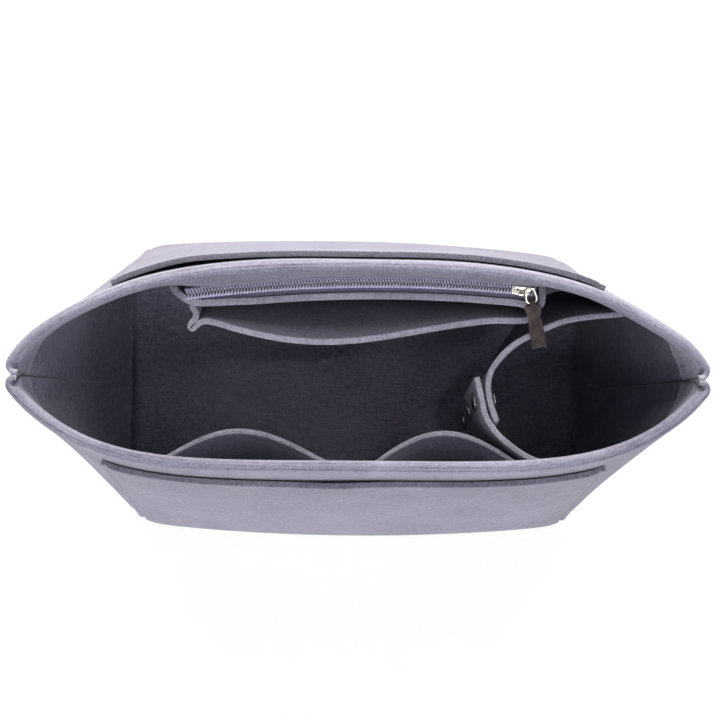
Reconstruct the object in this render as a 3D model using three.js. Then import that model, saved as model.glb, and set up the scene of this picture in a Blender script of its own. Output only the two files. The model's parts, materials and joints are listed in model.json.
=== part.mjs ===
// Felt purse organizer insert: an open tote of 3 mm felt with pockets, a zip and a bottle holder.
// Millimetres, +Z up, +X along the length, +Y to the zip side, origin under the middle of the base.
import * as THREE from 'three';

// Felt and seams
const felt = 3;
const seamGap = 0.4;
const seamTurn = 6.5;
const seamAllowance = 4;
const pocketLayerGap = 0.6;
const rootGap = 1.2;

// Base outline, measured to the middle of the wall's felt
const baseHalfLength = 123;
const baseShift = -2.5;
const baseBackSkew = 0.01;
const baseHalfDepth = 71.5;
const baseEndBow = 5;
const baseSideBow = 5;
const baseSquareness = 14;

// Rim outline, measured the same way
const rimHalfLength = 182;
const rimBackDepth = 52.9;
const rimFrontDepth = 52.3;
const rimBackSharpness = 2.83;
const rimFrontSharpness = 5.05;
const rimBackRoundness = 0.645;
const rimFrontRoundness = 0.878;
const tipSetback = 4;
const creaseRimShare = 0.93;
const creaseSpread = 0.08;
const rimHeight = 160;
const tipHeight = 143;

// Rim facings on the inside
const facingDepth = 14;
const facingRimShare = 0.95;
const facingLean = 4;
const facingLeanX = -78;
const facingLeanSpread = 35;

// Outer slip pockets
const outerPocketDrop = 19;
const frontPocketTopShare = 0.478;
const backPocketTopShare = 0.475;
const outerPocketFootShare = 0.61;
const outerPocketGap = 0.8;
const outerPocketFlatness = 4;
const frontPocketGape = 0.8;
const backPocketGape = 1;

// Zip, which runs level along an arc in front of the back wall
const zipHeight = 136;
const zipSag = 4.1;
const zipApexX = 0.077 * rimHalfLength;
const zipSetback = 9.4;
const zipLeftX = -0.4766 * rimHalfLength;
const zipRightX = 0.506 * rimHalfLength;
const tapeThickness = 0.6;
const tapeClearance = 0.95;
const coilHalfWidth = 3;
const coilHeight = 2.2;
const coilSpine = 1.5;
const toothPitch = 2.6;
const chainSlot = 1.2;

// Zip pocket panel
const zipPanelSetback = 7.3;
const zipPanelOverrun = 2.2;
const zipPanelLeftReach = 11.5;
const zipPanelRightReach = 3.5;
const zipPanelRise = 1.5;
const zipPanelRootDrop = 3.5;
const innerPocketFoot = 45;
const innerPocketTaper = 0.94;

// Slip pocket in front of the zip pocket
const slipPocketDrop = 3.5;
const slipPocketLeftInset = 1.5;
const slipPocketRightInset = 5;
const slipPocketHeight = zipHeight - slipPocketDrop;
const slipPocketLeftX = zipLeftX + slipPocketLeftInset;
const slipPocketRightX = zipRightX - slipPocketRightInset;
const slipPocketEndGape = 8;
const slipPocketGape = 13.5;
const slipPocketRoundness = 1.3;

// Slip pockets on the front wall
const frontPocketDrop = 30;
const frontPocketHeight = rimHeight - frontPocketDrop;
const frontPocketLeftX = -0.58 * rimHalfLength;
const frontPocketRightX = 0.485 * rimHalfLength;
const frontPocketDivide = 2;
const frontPocketBulge = 21;

// Slider, measured from the middle of the chain
const sliderInset = 7;
const sliderX = zipRightX - sliderInset;
const sliderLength = 11.5;
const sliderPlate = 1.2;
const sliderLip = 0.8;
const sliderClearance = 0.4;
const sliderWeb = 0.6;

// Bail, ring and leather pull
const bailShift = 2.5;
const bailWidth = 2.2;
const bailWall = 1;
const bailRise = 0.6;
const wireRadius = 0.65;
const wireClearance = 0.45;
const ringHalfWidth = 2.6;
const ringLength = 7.4;
const ringCorner = 1.3;
const ringTilt = 12;
const ringYaw = 16;
const pullTilt = 14;
const pullLength = 23.5;
const pullWaistShare = 0.35;
const leather = 1.1;
const pullLoopWidth = 3;
const pullWaistWidth = 5;
const pullTailWidth = 8;

// Bottle holder flaps
const flapTop = 134.5;
const flapFoot = 40;
const snapX = 0.349 * rimHalfLength;
const snapY = -13;
const flapTurn = 9.2;
const flapLean = 0.1;
const flapSlip = 0.12;
const flapSpacing = 6.2;
const hingeGap = 0.8;
const frontHingeReach = 12;
const frontFreeReach = 10;
const backHingeReach = 12;
const backFreeReach = 14;
const frontRootX = 0.55 * rimHalfLength;
const frontRootTop = 131.5;
const frontRootFootX = 0.83 * baseHalfLength;
const backRootX = 0.766 * rimHalfLength;
const backRootTop = 128;
const backRootFootX = 0.968 * baseHalfLength;
const frontLeave = 7;
const backLeave = 5;
const frontArrive = new THREE.Vector3(-0.121 * rimHalfLength, 11, 0);
const backArrive = new THREE.Vector3(-0.253 * rimHalfLength, 1, 0);

// Snaps
const snapHeights = [120, 95, 70];
const capRadius = 5;
const capHeight = 1.4;
const capRimShare = 0.4;
const capCrownShare = 0.7;
const socketRadius = 4.5;
const socketHeight = 1.5;
const studRadius = 1.9;
const studBaseRadius = 4;
const studBase = 0.7;
const studClearance = 0.7;
const studTip = 0.6;

const front = -1;
const back = 1;

// Materials
function finish(color, roughness, metalness) {
  return new THREE.MeshStandardMaterial({ color, roughness, metalness });
}
const greyFelt = finish(0x77747f, 0.95, 0);
const zipTape = finish(0x4a4852, 0.85, 0);
const zipNylon = finish(0x6a6872, 0.5, 0);
const paleMetal = finish(0xb9afa6, 0.3, 1);
const brownLeather = finish(0x4a3c38, 0.6, 0);

const organizer = new THREE.Group();
function add(name, geometry, material, parent = organizer) {
  const mesh = new THREE.Mesh(geometry, material);
  mesh.name = name;
  parent.add(mesh);
  return mesh;
}

function steps(count, from = 0, to = 1) {
  return Array.from({ length: count + 1 }, (_, i) => from + ((to - from) * i) / count);
}

// A closed solid from two faces of a grid: point(a, b, face) gives each corner
function slab(columns, rows, point) {
  const corners = [];
  const triangles = [];
  const index = (i, j, face) => (i * rows.length + j) * 2 + face;
  const quad = (a, b, c, d) => triangles.push(a, b, c, a, c, d);
  for (const a of columns) {
    for (const b of rows) {
      corners.push(point(a, b, 0), point(a, b, 1));
    }
  }
  const lastColumn = columns.length - 1;
  const lastRow = rows.length - 1;
  for (let i = 0; i < lastColumn; i++) {
    for (let j = 0; j < lastRow; j++) {
      quad(index(i, j, 0), index(i + 1, j, 0), index(i + 1, j + 1, 0), index(i, j + 1, 0));
      quad(index(i, j, 1), index(i, j + 1, 1), index(i + 1, j + 1, 1), index(i + 1, j, 1));
    }
    quad(index(i, 0, 0), index(i, 0, 1), index(i + 1, 0, 1), index(i + 1, 0, 0));
    quad(index(i, lastRow, 0), index(i + 1, lastRow, 0), index(i + 1, lastRow, 1), index(i, lastRow, 1));
  }
  for (let j = 0; j < lastRow; j++) {
    quad(index(0, j, 0), index(0, j + 1, 0), index(0, j + 1, 1), index(0, j, 1));
    const last = [index(lastColumn, j, 0), index(lastColumn, j, 1)];
    quad(...last, index(lastColumn, j + 1, 1), index(lastColumn, j + 1, 0));
  }
  return closedGeometry(corners, triangles);
}

// Faces point outwards whichever way round the corners were given
function closedGeometry(corners, triangles) {
  let volume = 0;
  for (let i = 0; i < triangles.length; i += 3) {
    const [a, b, c] = [0, 1, 2].map((k) => corners[triangles[i + k]]);
    volume += new THREE.Vector3().crossVectors(a, b).dot(c);
  }
  const ordered = volume > 0 ? triangles : triangles.toReversed();
  const geometry = new THREE.BufferGeometry().setFromPoints(corners);
  geometry.setIndex(ordered);
  geometry.computeVertexNormals();
  return geometry;
}

// Point at a share of a polyline's length
function measured(points) {
  const lengths = [0];
  for (let i = 1; i < points.length; i++) {
    lengths.push(lengths[i - 1] + points[i].distanceTo(points[i - 1]));
  }
  return (share) => {
    const wanted = share * lengths.at(-1);
    const next = Math.min(Math.max(lengths.findIndex((length) => length > wanted), 1), points.length - 1);
    const last = share >= 1 ? points.length - 1 : next;
    const part = (wanted - lengths[last - 1]) / (lengths[last] - lengths[last - 1]);
    return points[last - 1].clone().lerp(points[last], part);
  };
}

// Half of the base outline, from the middle of a side to the middle of an end
function baseHalf(side) {
  const corner = 2 ** (-1 / baseSquareness);
  const other = (share) => (1 - share ** baseSquareness) ** (1 / baseSquareness);
  const alongSide = steps(60, 0, corner).map((share) => [share, other(share)]);
  const alongEnd = steps(60, corner, 0).map((share) => [other(share), share]);
  return [...alongSide, ...alongEnd.slice(1)].map(([along, across]) => {
    const x = baseHalfLength * along + baseEndBow * (1 - across ** 2);
    const y = baseHalfDepth * across + baseSideBow * (1 - along ** 2);
    return new THREE.Vector2(x, side * y);
  });
}

// Half of the rim outline, from the middle of a side to the tip
function rimHalf(side) {
  const depth = side === back ? rimBackDepth + tipSetback : rimFrontDepth - tipSetback;
  const sharpness = side === back ? rimBackSharpness : rimFrontSharpness;
  const roundness = side === back ? rimBackRoundness : rimFrontRoundness;
  return steps(240).map((share) => {
    const along = 1 - (1 - share) ** 2;
    const across = depth * (1 - along ** sharpness) ** roundness;
    return new THREE.Vector2(rimHalfLength * along, side * across - tipSetback);
  });
}

// The felt turns inwards at the side seam: shares 0 to 1 are wall, 1 to 2 are the turned edge
function turnedAtSeam(points, seamY, side) {
  const away = (point) => side * (point.y - seamY);
  const start = points.findIndex((point) => away(point) < seamTurn);
  const end = points[start];
  const before = points[start - 1];
  const heading = Math.atan2(away(before) - away(end), end.x - before.x);
  const middle = (felt + seamGap) / 2;
  const radius = (away(end) - middle) / (1 + Math.cos(heading));
  const centre = new THREE.Vector2(end.x - radius * Math.sin(heading), seamY + side * (middle + radius));
  const turn = steps(24, heading - Math.PI / 2, Math.PI / 2).map((angle) => {
    const x = centre.x + radius * Math.cos(angle);
    return new THREE.Vector2(x, centre.y - side * radius * Math.sin(angle));
  });
  turn.push(new THREE.Vector2(centre.x - seamAllowance, seamY + side * middle));
  const wallPart = measured(points.slice(0, start + 1));
  const turnedPart = measured(turn);
  return (share) => (share <= 1 ? wallPart(share) : turnedPart(share - 1));
}

// A wall is ruled between its base and rim outlines; u runs -2 to 2 along it, v from foot to rim
const wallFoot = felt + seamGap;
function rimZ(x) {
  return rimHeight - (rimHeight - tipHeight) * (x / rimHalfLength) ** 2;
}
// The wall creases from the base corner to a point near the tip
const creaseShare = baseHalfLength / (baseHalfLength + baseHalfDepth);
function rimShare(share) {
  if (share >= 1) {
    return share;
  }
  const past = (share - creaseShare) / (1 - creaseShare);
  return past < 0 ? (share / creaseShare) * creaseRimShare : THREE.MathUtils.lerp(creaseRimShare, 1, past);
}
function makeWall(side) {
  const base = turnedAtSeam(baseHalf(side), 0, side);
  const rim = turnedAtSeam(rimHalf(side), -tipSetback, side);
  const at = (u, v) => {
    const hand = u < 0 ? -1 : 1;
    const low = base(Math.abs(u));
    const high = rim(rimShare(Math.abs(u)));
    const footX = hand * low.x + baseShift;
    const skew = side === back ? baseBackSkew * footX * (low.y / baseHalfDepth) : 0;
    const foot = new THREE.Vector3(footX, low.y - skew, wallFoot);
    return foot.lerp(new THREE.Vector3(hand * high.x, high.y, rimZ(high.x)), v);
  };
  const outwards = (u, v) => {
    const nudge = 0.004;
    const along = at(u + nudge, v).sub(at(u - nudge, v));
    return new THREE.Vector3(-side * along.y, side * along.x, 0).normalize();
  };
  const offset = (u, v, distance) => at(u, v).addScaledVector(outwards(u, v), distance);
  const shareAtZ = (u, z) => (z - wallFoot) / (at(u, 1).z - wallFoot);
  // Wall position that lies at x at height z
  const find = (x, z) => {
    let low = -creaseShare;
    let high = creaseShare;
    for (let i = 0; i < 40; i++) {
      const u = (low + high) / 2;
      if (at(u, shareAtZ(u, z)).x < x) {
        low = u;
      } else {
        high = u;
      }
    }
    return (low + high) / 2;
  };
  const inside = (x, z, depth) => {
    const u = find(x, z);
    return offset(u, shareAtZ(u, z), -depth);
  };
  return { side, at, offset, shareAtZ, find, inside };
}
const walls = { front: makeWall(front), back: makeWall(back) };
const wallHalf = [
  ...steps(12, 0, creaseShare - creaseSpread),
  ...steps(8, creaseShare - creaseSpread, creaseShare + creaseSpread),
  ...steps(6, creaseShare + creaseSpread, 1),
];
const wallColumns = [...new Set([...wallHalf.map((u) => -u).toReversed(), ...wallHalf])];
const panelColumns = [...steps(6, -1.999, -1).slice(0, -1), ...wallColumns, ...steps(6, 1, 1.999).slice(1)];

const panelRows = [0, 0.4, 0.75, 0.88, 1];
function panel(wall) {
  return slab(panelColumns, panelRows, (u, v, face) => wall.offset(u, v, (face - 0.5) * felt));
}

// The facing hangs inside the rim and leans away from the back wall where the zip does
function facing(wall) {
  const columns = wallColumns.filter((u) => rimShare(Math.abs(u)) < facingRimShare);
  return slab(columns, steps(2), (u, share, face) => {
    const rimPoint = wall.at(u, 1);
    const v = wall.shareAtZ(u, rimPoint.z - share * facingDepth);
    const spread = ((rimPoint.x - facingLeanX) / facingLeanSpread) ** 2;
    const lean = wall.side === back ? facingLean * Math.exp(-spread) * share : 0;
    return wall.offset(u, v, -(felt + seamGap + lean) + (face - 0.5) * felt);
  });
}

function outerPocket(wall, topShare, gape) {
  return slab(steps(24, -1, 1), steps(3), (across, up, face) => {
    const u = across * THREE.MathUtils.lerp(outerPocketFootShare, topShare, up);
    const v = up * wall.shareAtZ(u, wall.at(u, 1).z - outerPocketDrop);
    const open = gape * (1 - across ** outerPocketFlatness) * up ** 2;
    return wall.offset(u, v, felt + outerPocketGap + open + (face - 0.5) * felt);
  });
}

// A felt sheet ruled between a top and a foot line
function ruledSheet(top, foot, rows = 4) {
  const middle = (i, down) => top[i].clone().lerp(foot[i], down);
  const columns = top.map((_, i) => i);
  return slab(columns, steps(rows), (i, down, face) => {
    const ahead = middle(Math.min(i + 1, top.length - 1), down);
    const along = ahead.sub(middle(Math.max(i - 1, 0), down));
    const sideways = new THREE.Vector3(-along.y, along.x, 0).normalize();
    return middle(i, down).addScaledVector(sideways, (face - 0.5) * felt);
  });
}

// Base and walls
function baseOutline() {
  const edge = [];
  for (const wall of [walls.front, walls.back]) {
    const shares = wallColumns.map((u) => wall.offset(u, 0, felt / 2));
    edge.push(...(wall.side === front ? shares : shares.toReversed()));
  }
  return new THREE.Shape(edge.map((point) => new THREE.Vector2(point.x, point.y)));
}
add('base_panel', new THREE.ExtrudeGeometry(baseOutline(), { depth: felt, bevelEnabled: false }), greyFelt);
add('front_panel', panel(walls.front), greyFelt);
add('back_panel', panel(walls.back), greyFelt);
add('front_rim_facing', facing(walls.front), greyFelt);
add('back_rim_facing', facing(walls.back), greyFelt);
add('front_outer_pocket', outerPocket(walls.front, frontPocketTopShare, frontPocketGape), greyFelt);
add('back_outer_pocket', outerPocket(walls.back, backPocketTopShare, backPocketGape), greyFelt);

// Zip arc: x along the chain, setback towards the back wall
const zipApexY = walls.back.inside(zipApexX, zipHeight, felt / 2).y - zipSetback;
const zipSpan = zipRightX - zipApexX;
const zipRadius = (zipSpan ** 2 + zipSag ** 2) / (2 * zipSag);
const zipCentre = new THREE.Vector2(zipApexX, zipApexY - zipRadius);
function zipPoint(x, setback, z) {
  const angle = Math.asin((x - zipApexX) / zipRadius);
  const radius = zipRadius + setback;
  const y = zipCentre.y + radius * Math.cos(angle);
  return new THREE.Vector3(zipCentre.x + radius * Math.sin(angle), y, z);
}

const zipXs = steps(24, zipLeftX, zipRightX);
const tapeFaces = [zipHeight, zipHeight + tapeThickness];
function tape(outerEdge) {
  return slab(zipXs, steps(1), (x, out, face) => {
    const inner = zipPoint(x, outerEdge(x).side * chainSlot * 0.5, tapeFaces[face]);
    return inner.lerp(outerEdge(x).point.setZ(tapeFaces[face]), out);
  });
}
const tapeAtPanel = zipPanelSetback - felt / 2 - tapeClearance;
const backEdge = (x) => ({ side: back, point: walls.back.inside(x, zipHeight, felt / 2 + seamGap) });
const frontEdge = (x) => ({ side: front, point: zipPoint(x, -tapeAtPanel, zipHeight) });
add('zip_tape_back', tape(backEdge), zipTape);
add('zip_tape_front', tape(frontEdge), zipTape);

// Each coil is a comb whose teeth point at the slot between the two chains
const coilFoot = zipHeight + tapeThickness + seamGap;
function coil(side) {
  const teeth = Math.floor((zipRightX - zipLeftX) / toothPitch);
  const plan = (x, setback) => {
    const point = zipPoint(x, side * setback, 0);
    return new THREE.Vector2(point.x, point.y);
  };
  const outline = [];
  for (let i = 0; i < teeth; i++) {
    const x = zipLeftX + i * toothPitch;
    const tip = x + toothPitch / 2;
    outline.push(plan(x, chainSlot / 2), plan(tip, chainSlot / 2));
    outline.push(plan(tip, coilSpine), plan(x + toothPitch, coilSpine));
  }
  for (const x of steps(24, zipLeftX + teeth * toothPitch, zipLeftX)) {
    outline.push(plan(x, coilHalfWidth));
  }
  const settings = { depth: coilHeight, bevelEnabled: false };
  return new THREE.ExtrudeGeometry(new THREE.Shape(outline), settings).translate(0, 0, coilFoot);
}
add('zip_coil_back', coil(back), zipNylon);
add('zip_coil_front', coil(front), zipNylon);

// Zip pocket panel: level along the zip, with both ends bent back to the wall and sewn there
function onBackWall(x, z, layers) {
  return walls.back.inside(x, z, layers * (felt + pocketLayerGap));
}
const zipPanelTop = zipHeight + zipPanelRise;
const rootSeat = felt + rootGap;
function zipPanel() {
  const rootTop = zipPanelTop - zipPanelRootDrop;
  const leftX = zipLeftX - zipPanelOverrun;
  const rightX = zipRightX + zipPanelOverrun;
  const route = [
    walls.back.inside(leftX - zipPanelLeftReach, rootTop, rootSeat),
    ...steps(12, leftX, rightX).map((x) => zipPoint(x, -zipPanelSetback, zipPanelTop)),
    walls.back.inside(rightX + zipPanelRightReach, rootTop, rootSeat),
  ];
  const top = new THREE.CatmullRomCurve3(route, false, 'centripetal').getSpacedPoints(28);
  return ruledSheet(top, top.map((point) => onBackWall(point.x * innerPocketTaper, innerPocketFoot, 1)));
}
add('zip_pocket_panel', zipPanel(), greyFelt);

// Slip pocket: gapes in front of the zip pocket and returns to it at both ends
function slipPocket() {
  const face = zipPanelSetback + felt / 2;
  const swell = (share) => Math.sin(Math.PI * share) ** slipPocketRoundness;
  const gapeAt = (share) => slipPocketEndGape + slipPocketGape * swell(share);
  const run = steps(8, slipPocketLeftX + felt, slipPocketRightX - felt);
  const across = run.map((x, i) => [x, gapeAt(i / 8)]);
  const start = [[slipPocketLeftX, seamGap * 2], [slipPocketLeftX - 1, slipPocketEndGape / 2]];
  const end = [[slipPocketRightX + 1, slipPocketEndGape / 2], [slipPocketRightX, seamGap * 2]];
  const plan = [...start, ...across, ...end];
  const route = plan.map(([x, gape]) => zipPoint(x, -(face + gape), slipPocketHeight));
  const top = new THREE.CatmullRomCurve3(route, false, 'centripetal').getSpacedPoints(36);
  return ruledSheet(top, top.map((point) => onBackWall(point.x * innerPocketTaper, innerPocketFoot, 2)));
}
add('back_slip_pocket', slipPocket(), greyFelt);

// Slip pockets on the front wall bulge inwards at the top and lie flat at the foot
function frontSlipPocket(fromX, toX) {
  const wall = walls.front;
  const from = wall.find(fromX, frontPocketHeight);
  const to = wall.find(toX, frontPocketHeight);
  return slab(steps(16), steps(4), (across, up, face) => {
    const u = THREE.MathUtils.lerp(from, to, across);
    const z = THREE.MathUtils.lerp(innerPocketFoot, frontPocketHeight, up);
    const bulge = frontPocketBulge * Math.sin(Math.PI * across) * up;
    return wall.offset(u, wall.shareAtZ(u, z), -(felt + seamGap + bulge) + (face - 0.5) * felt);
  });
}
add('front_slip_pocket_left', frontSlipPocket(frontPocketLeftX, -frontPocketDivide), greyFelt);
add('front_slip_pocket_right', frontSlipPocket(frontPocketDivide, frontPocketRightX), greyFelt);

// Slider, bail, ring and pull, in a group that stands on the chain
const slider = new THREE.Group();
const sliderAngle = Math.asin((sliderX - zipApexX) / zipRadius);
slider.position.copy(zipPoint(sliderX, 0, 0));
slider.rotation.z = -sliderAngle;
organizer.add(slider);

// A section in the YZ plane, drawn as [y, z] points, with its thickness along X
function across(points, width, x = 0) {
  const shape = new THREE.Shape(points.map(([y, z]) => new THREE.Vector2(y, z)));
  const solid = new THREE.ExtrudeGeometry(shape, { depth: width, bevelEnabled: false });
  return solid.translate(0, 0, -width / 2).rotateX(Math.PI / 2).rotateZ(Math.PI / 2).translate(x, 0, 0);
}

const sliderCoverTop = coilFoot + coilHeight + sliderClearance + sliderPlate;
const sliderInner = coilHalfWidth + sliderClearance;
const sliderOuter = sliderInner + sliderLip;
function sliderSection() {
  const under = sliderCoverTop - sliderPlate;
  const lipFoot = zipHeight + tapeThickness + sliderClearance;
  const floorTop = zipHeight - sliderClearance;
  const floorFoot = floorTop - sliderPlate;
  const web = sliderWeb / 2;
  const right = [
    [sliderOuter, floorFoot], [sliderOuter, floorTop], [web, floorTop], [web, under],
    [sliderInner, under], [sliderInner, lipFoot], [sliderOuter, lipFoot], [sliderOuter, sliderCoverTop],
  ];
  return [...right, ...right.toReversed().map(([y, z]) => [-y, z])];
}
add('slider_body', across(sliderSection(), sliderLength), paleMetal, slider);

const wireBore = wireRadius + wireClearance;
const ringAxisZ = sliderCoverTop + seamGap + wireBore + bailRise;
function bailSection() {
  const foot = sliderCoverTop + seamGap;
  const outer = wireBore + bailWall;
  const roof = ringAxisZ + wireBore;
  return [
    [-outer, foot], [-wireBore, foot], [-wireBore, roof], [wireBore, roof],
    [wireBore, foot], [outer, foot], [outer, roof + bailWall], [-outer, roof + bailWall],
  ];
}
add('slider_bail', across(bailSection(), bailWidth, bailShift), paleMetal, slider);

// Wire ring: a rounded rectangle whose rear bar lies in the bail
const ring = new THREE.Group();
ring.position.set(bailShift, 0, ringAxisZ);
ring.rotation.set(THREE.MathUtils.degToRad(ringTilt), 0, THREE.MathUtils.degToRad(ringYaw), 'ZYX');
slider.add(ring);

function wireRing() {
  const outline = new THREE.Shape();
  const straight = ringHalfWidth - ringCorner;
  outline.absarc(straight, -ringCorner, ringCorner, Math.PI / 2, 0, true);
  outline.absarc(straight, ringCorner - ringLength, ringCorner, 0, -Math.PI / 2, true);
  outline.absarc(-straight, ringCorner - ringLength, ringCorner, -Math.PI / 2, -Math.PI, true);
  outline.absarc(-straight, -ringCorner, ringCorner, Math.PI, Math.PI / 2, true);
  const drawn = outline.getPoints(4).slice(0, -1);
  const route = drawn.filter((point, i) => i === 0 || point.distanceTo(drawn[i - 1]) > 0.01);
  const sides = 8;
  const corners = [];
  const triangles = [];
  route.forEach((point, i) => {
    const next = route[(i + 1) % route.length];
    const last = route.at(i - 1);
    const along = next.clone().sub(last).normalize();
    for (const k of steps(sides - 1, 0, sides - 1)) {
      const angle = (k * 2 * Math.PI) / sides;
      const out = wireRadius * Math.cos(angle);
      const x = point.x - along.y * out;
      corners.push(new THREE.Vector3(x, point.y + along.x * out, wireRadius * Math.sin(angle)));
      const here = i * sides + k;
      const turned = i * sides + ((k + 1) % sides);
      const ahead = ((i + 1) % route.length) * sides;
      triangles.push(here, turned, ahead + k, turned, ahead + ((k + 1) % sides), ahead + k);
    }
  });
  return closedGeometry(corners, triangles);
}
add('pull_ring', wireRing(), paleMetal, ring);

// Leather pull: a strip folded round the ring's front bar, narrow in the ring and wide at the tail
const pull = new THREE.Group();
pull.position.y = -ringLength;
pull.rotation.x = THREE.MathUtils.degToRad(pullTilt - ringTilt);
ring.add(pull);

function leatherPull() {
  const eye = wireBore + leather;
  const meet = Math.asin(leather / eye);
  const profile = new THREE.Shape();
  profile.absarc(0, 0, eye, Math.PI + meet, 3 * Math.PI - meet, false);
  const bends = [pullWaistShare, 0.5, 0.8, 1];
  for (const share of bends) {
    profile.lineTo(-pullLength * share, leather);
  }
  for (const share of bends.toReversed()) {
    profile.lineTo(-pullLength * share, -leather);
  }
  profile.holes.push(new THREE.Path().absarc(0, 0, wireBore, 0, 2 * Math.PI, true));
  const solid = new THREE.ExtrudeGeometry(profile, { depth: 1, bevelEnabled: false, curveSegments: 10 });
  solid.translate(0, 0, -0.5).rotateX(Math.PI / 2).rotateZ(Math.PI / 2);
  const places = solid.attributes.position;
  const waist = pullLength * pullWaistShare;
  for (let i = 0; i < places.count; i++) {
    const down = -places.getY(i);
    const loop = THREE.MathUtils.smoothstep(down, eye, waist);
    const tail = THREE.MathUtils.smoothstep(down, waist, pullLength);
    const narrow = THREE.MathUtils.lerp(pullLoopWidth, pullWaistWidth, loop);
    places.setX(i, places.getX(i) * THREE.MathUtils.lerp(narrow, pullTailWidth, tail));
  }
  return solid;
}
add('leather_pull', leatherPull(), brownLeather, pull);

// Bottle holder: each flap is cut at the line where it bends
const flapAngle = THREE.MathUtils.degToRad(flapTurn);
const flapAlong = new THREE.Vector3(-Math.sin(flapAngle), Math.cos(flapAngle), 0);
const flapNormal = new THREE.Vector3(Math.cos(flapAngle), Math.sin(flapAngle), 0);
const frontSnap = new THREE.Vector3(snapX, snapY, 0);
const backSnap = frontSnap.clone().addScaledVector(flapNormal, flapSpacing);
// Below its top edge a flap leans to the left and slips forwards
function leaned(point, z) {
  const drop = z - flapTop;
  const low = point.clone().addScaledVector(flapNormal, drop * flapLean);
  return low.addScaledVector(flapAlong, drop * flapSlip).setZ(z);
}
function flapEnd(snap, fromReach, toReach) {
  return slab([fromReach, toReach], [flapFoot, flapTop], (reach, z, face) => {
    const point = snap.clone().addScaledVector(flapAlong, reach);
    return leaned(point.addScaledVector(flapNormal, (face - 0.5) * felt), z);
  });
}
add('front_flap_end', flapEnd(frontSnap, -frontHingeReach, frontFreeReach), greyFelt);
add('back_flap_end', flapEnd(backSnap, -backFreeReach, backHingeReach), greyFelt);

// The rest of a flap curves from that line to the wall
function flapRoot(wall, root, snap, reach, leave, arrive) {
  const hinge = snap.clone().addScaledVector(flapAlong, reach + Math.sign(reach) * hingeGap);
  const control = hinge.clone().addScaledVector(flapAlong, Math.sign(reach) * leave);
  const line = (hingeZ, rootX, rootZ) => {
    const seat = wall.inside(rootX, rootZ, rootSeat);
    const near = seat.clone().add(arrive);
    const curve = new THREE.CubicBezierCurve3(leaned(hinge, hingeZ), leaned(control, hingeZ), near, seat);
    return curve.getSpacedPoints(14);
  };
  return ruledSheet(line(flapTop, root.x, root.top), line(flapFoot, root.footX, flapFoot), 3);
}
const frontRoot = { x: frontRootX, top: frontRootTop, footX: frontRootFootX };
const backRoot = { x: backRootX, top: backRootTop, footX: backRootFootX };
const frontCurve = flapRoot(walls.front, frontRoot, frontSnap, -frontHingeReach, frontLeave, frontArrive);
const backCurve = flapRoot(walls.back, backRoot, backSnap, backHingeReach, backLeave, backArrive);
add('front_flap_root', frontCurve, greyFelt);
add('back_flap_root', backCurve, greyFelt);

// Snaps, turned about the line square to both flaps
const snapAxis = flapNormal.clone().setZ(-flapLean).normalize();
function turned(profile) {
  const points = profile.map(([radius, height]) => new THREE.Vector2(radius, height));
  return new THREE.LatheGeometry(points, 12);
}
const backFace = flapSpacing - felt / 2 - seamGap;
const frontFace = felt / 2 + seamGap;
function snapPiece(name, profile, z) {
  const mesh = add(name, turned(profile), paleMetal);
  mesh.position.copy(leaned(frontSnap, z));
  mesh.quaternion.setFromUnitVectors(new THREE.Vector3(0, 1, 0), snapAxis);
}
const backCap = flapSpacing + felt / 2 + seamGap;
snapHeights.forEach((z, i) => {
  const label = ['top', 'middle', 'lower'][i];
  const rim = capHeight * capRimShare;
  const crown = capRadius * capCrownShare;
  const frontTop = -frontFace - capHeight;
  const frontCap = [[0, frontTop], [crown, frontTop], [capRadius, -frontFace - rim]];
  snapPiece(`front_snap_cap_${label}`, [...frontCap, [capRadius, -frontFace], [0, -frontFace]], z);
  const bore = studRadius + studClearance;
  const socketTop = frontFace + socketHeight;
  const socketFoot = [[bore, frontFace], [socketRadius, frontFace]];
  const socket = [...socketFoot, [socketRadius, socketTop], [bore, socketTop], [bore, frontFace]];
  snapPiece(`front_snap_socket_${label}`, socket, z);
  const shoulder = backFace - studBase;
  const tip = felt / 2 + studTip;
  const stud = [[0, tip], [studRadius, tip], [studRadius, shoulder], [studBaseRadius, shoulder]];
  snapPiece(`back_snap_stud_${label}`, [...stud, [studBaseRadius, backFace], [0, backFace]], z);
  const backTop = backCap + capHeight;
  const outer = [[0, backCap], [capRadius, backCap], [capRadius, backCap + rim], [crown, backTop]];
  snapPiece(`back_snap_cap_${label}`, [...outer, [0, backTop]], z);
});

export default organizer;
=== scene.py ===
import json
import math

import bmesh
import bpy
import numpy as np
from mathutils import Matrix, Vector


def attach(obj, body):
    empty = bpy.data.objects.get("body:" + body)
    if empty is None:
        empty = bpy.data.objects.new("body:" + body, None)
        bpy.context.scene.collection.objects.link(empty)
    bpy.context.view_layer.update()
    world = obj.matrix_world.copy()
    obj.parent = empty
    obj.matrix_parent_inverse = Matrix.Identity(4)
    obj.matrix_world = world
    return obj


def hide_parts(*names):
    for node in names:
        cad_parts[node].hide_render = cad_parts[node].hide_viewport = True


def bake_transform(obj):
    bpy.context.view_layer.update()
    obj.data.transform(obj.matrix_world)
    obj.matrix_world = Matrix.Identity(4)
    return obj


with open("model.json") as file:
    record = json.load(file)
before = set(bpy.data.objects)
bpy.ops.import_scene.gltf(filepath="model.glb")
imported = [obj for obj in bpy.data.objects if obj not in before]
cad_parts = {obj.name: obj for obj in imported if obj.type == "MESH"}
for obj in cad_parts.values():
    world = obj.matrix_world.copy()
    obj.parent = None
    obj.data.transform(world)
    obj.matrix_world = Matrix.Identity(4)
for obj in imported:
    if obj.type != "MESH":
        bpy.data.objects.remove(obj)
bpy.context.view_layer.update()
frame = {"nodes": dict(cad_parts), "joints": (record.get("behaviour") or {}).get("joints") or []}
scene = bpy.context.scene
scene.view_settings.view_transform = "Standard"
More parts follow.
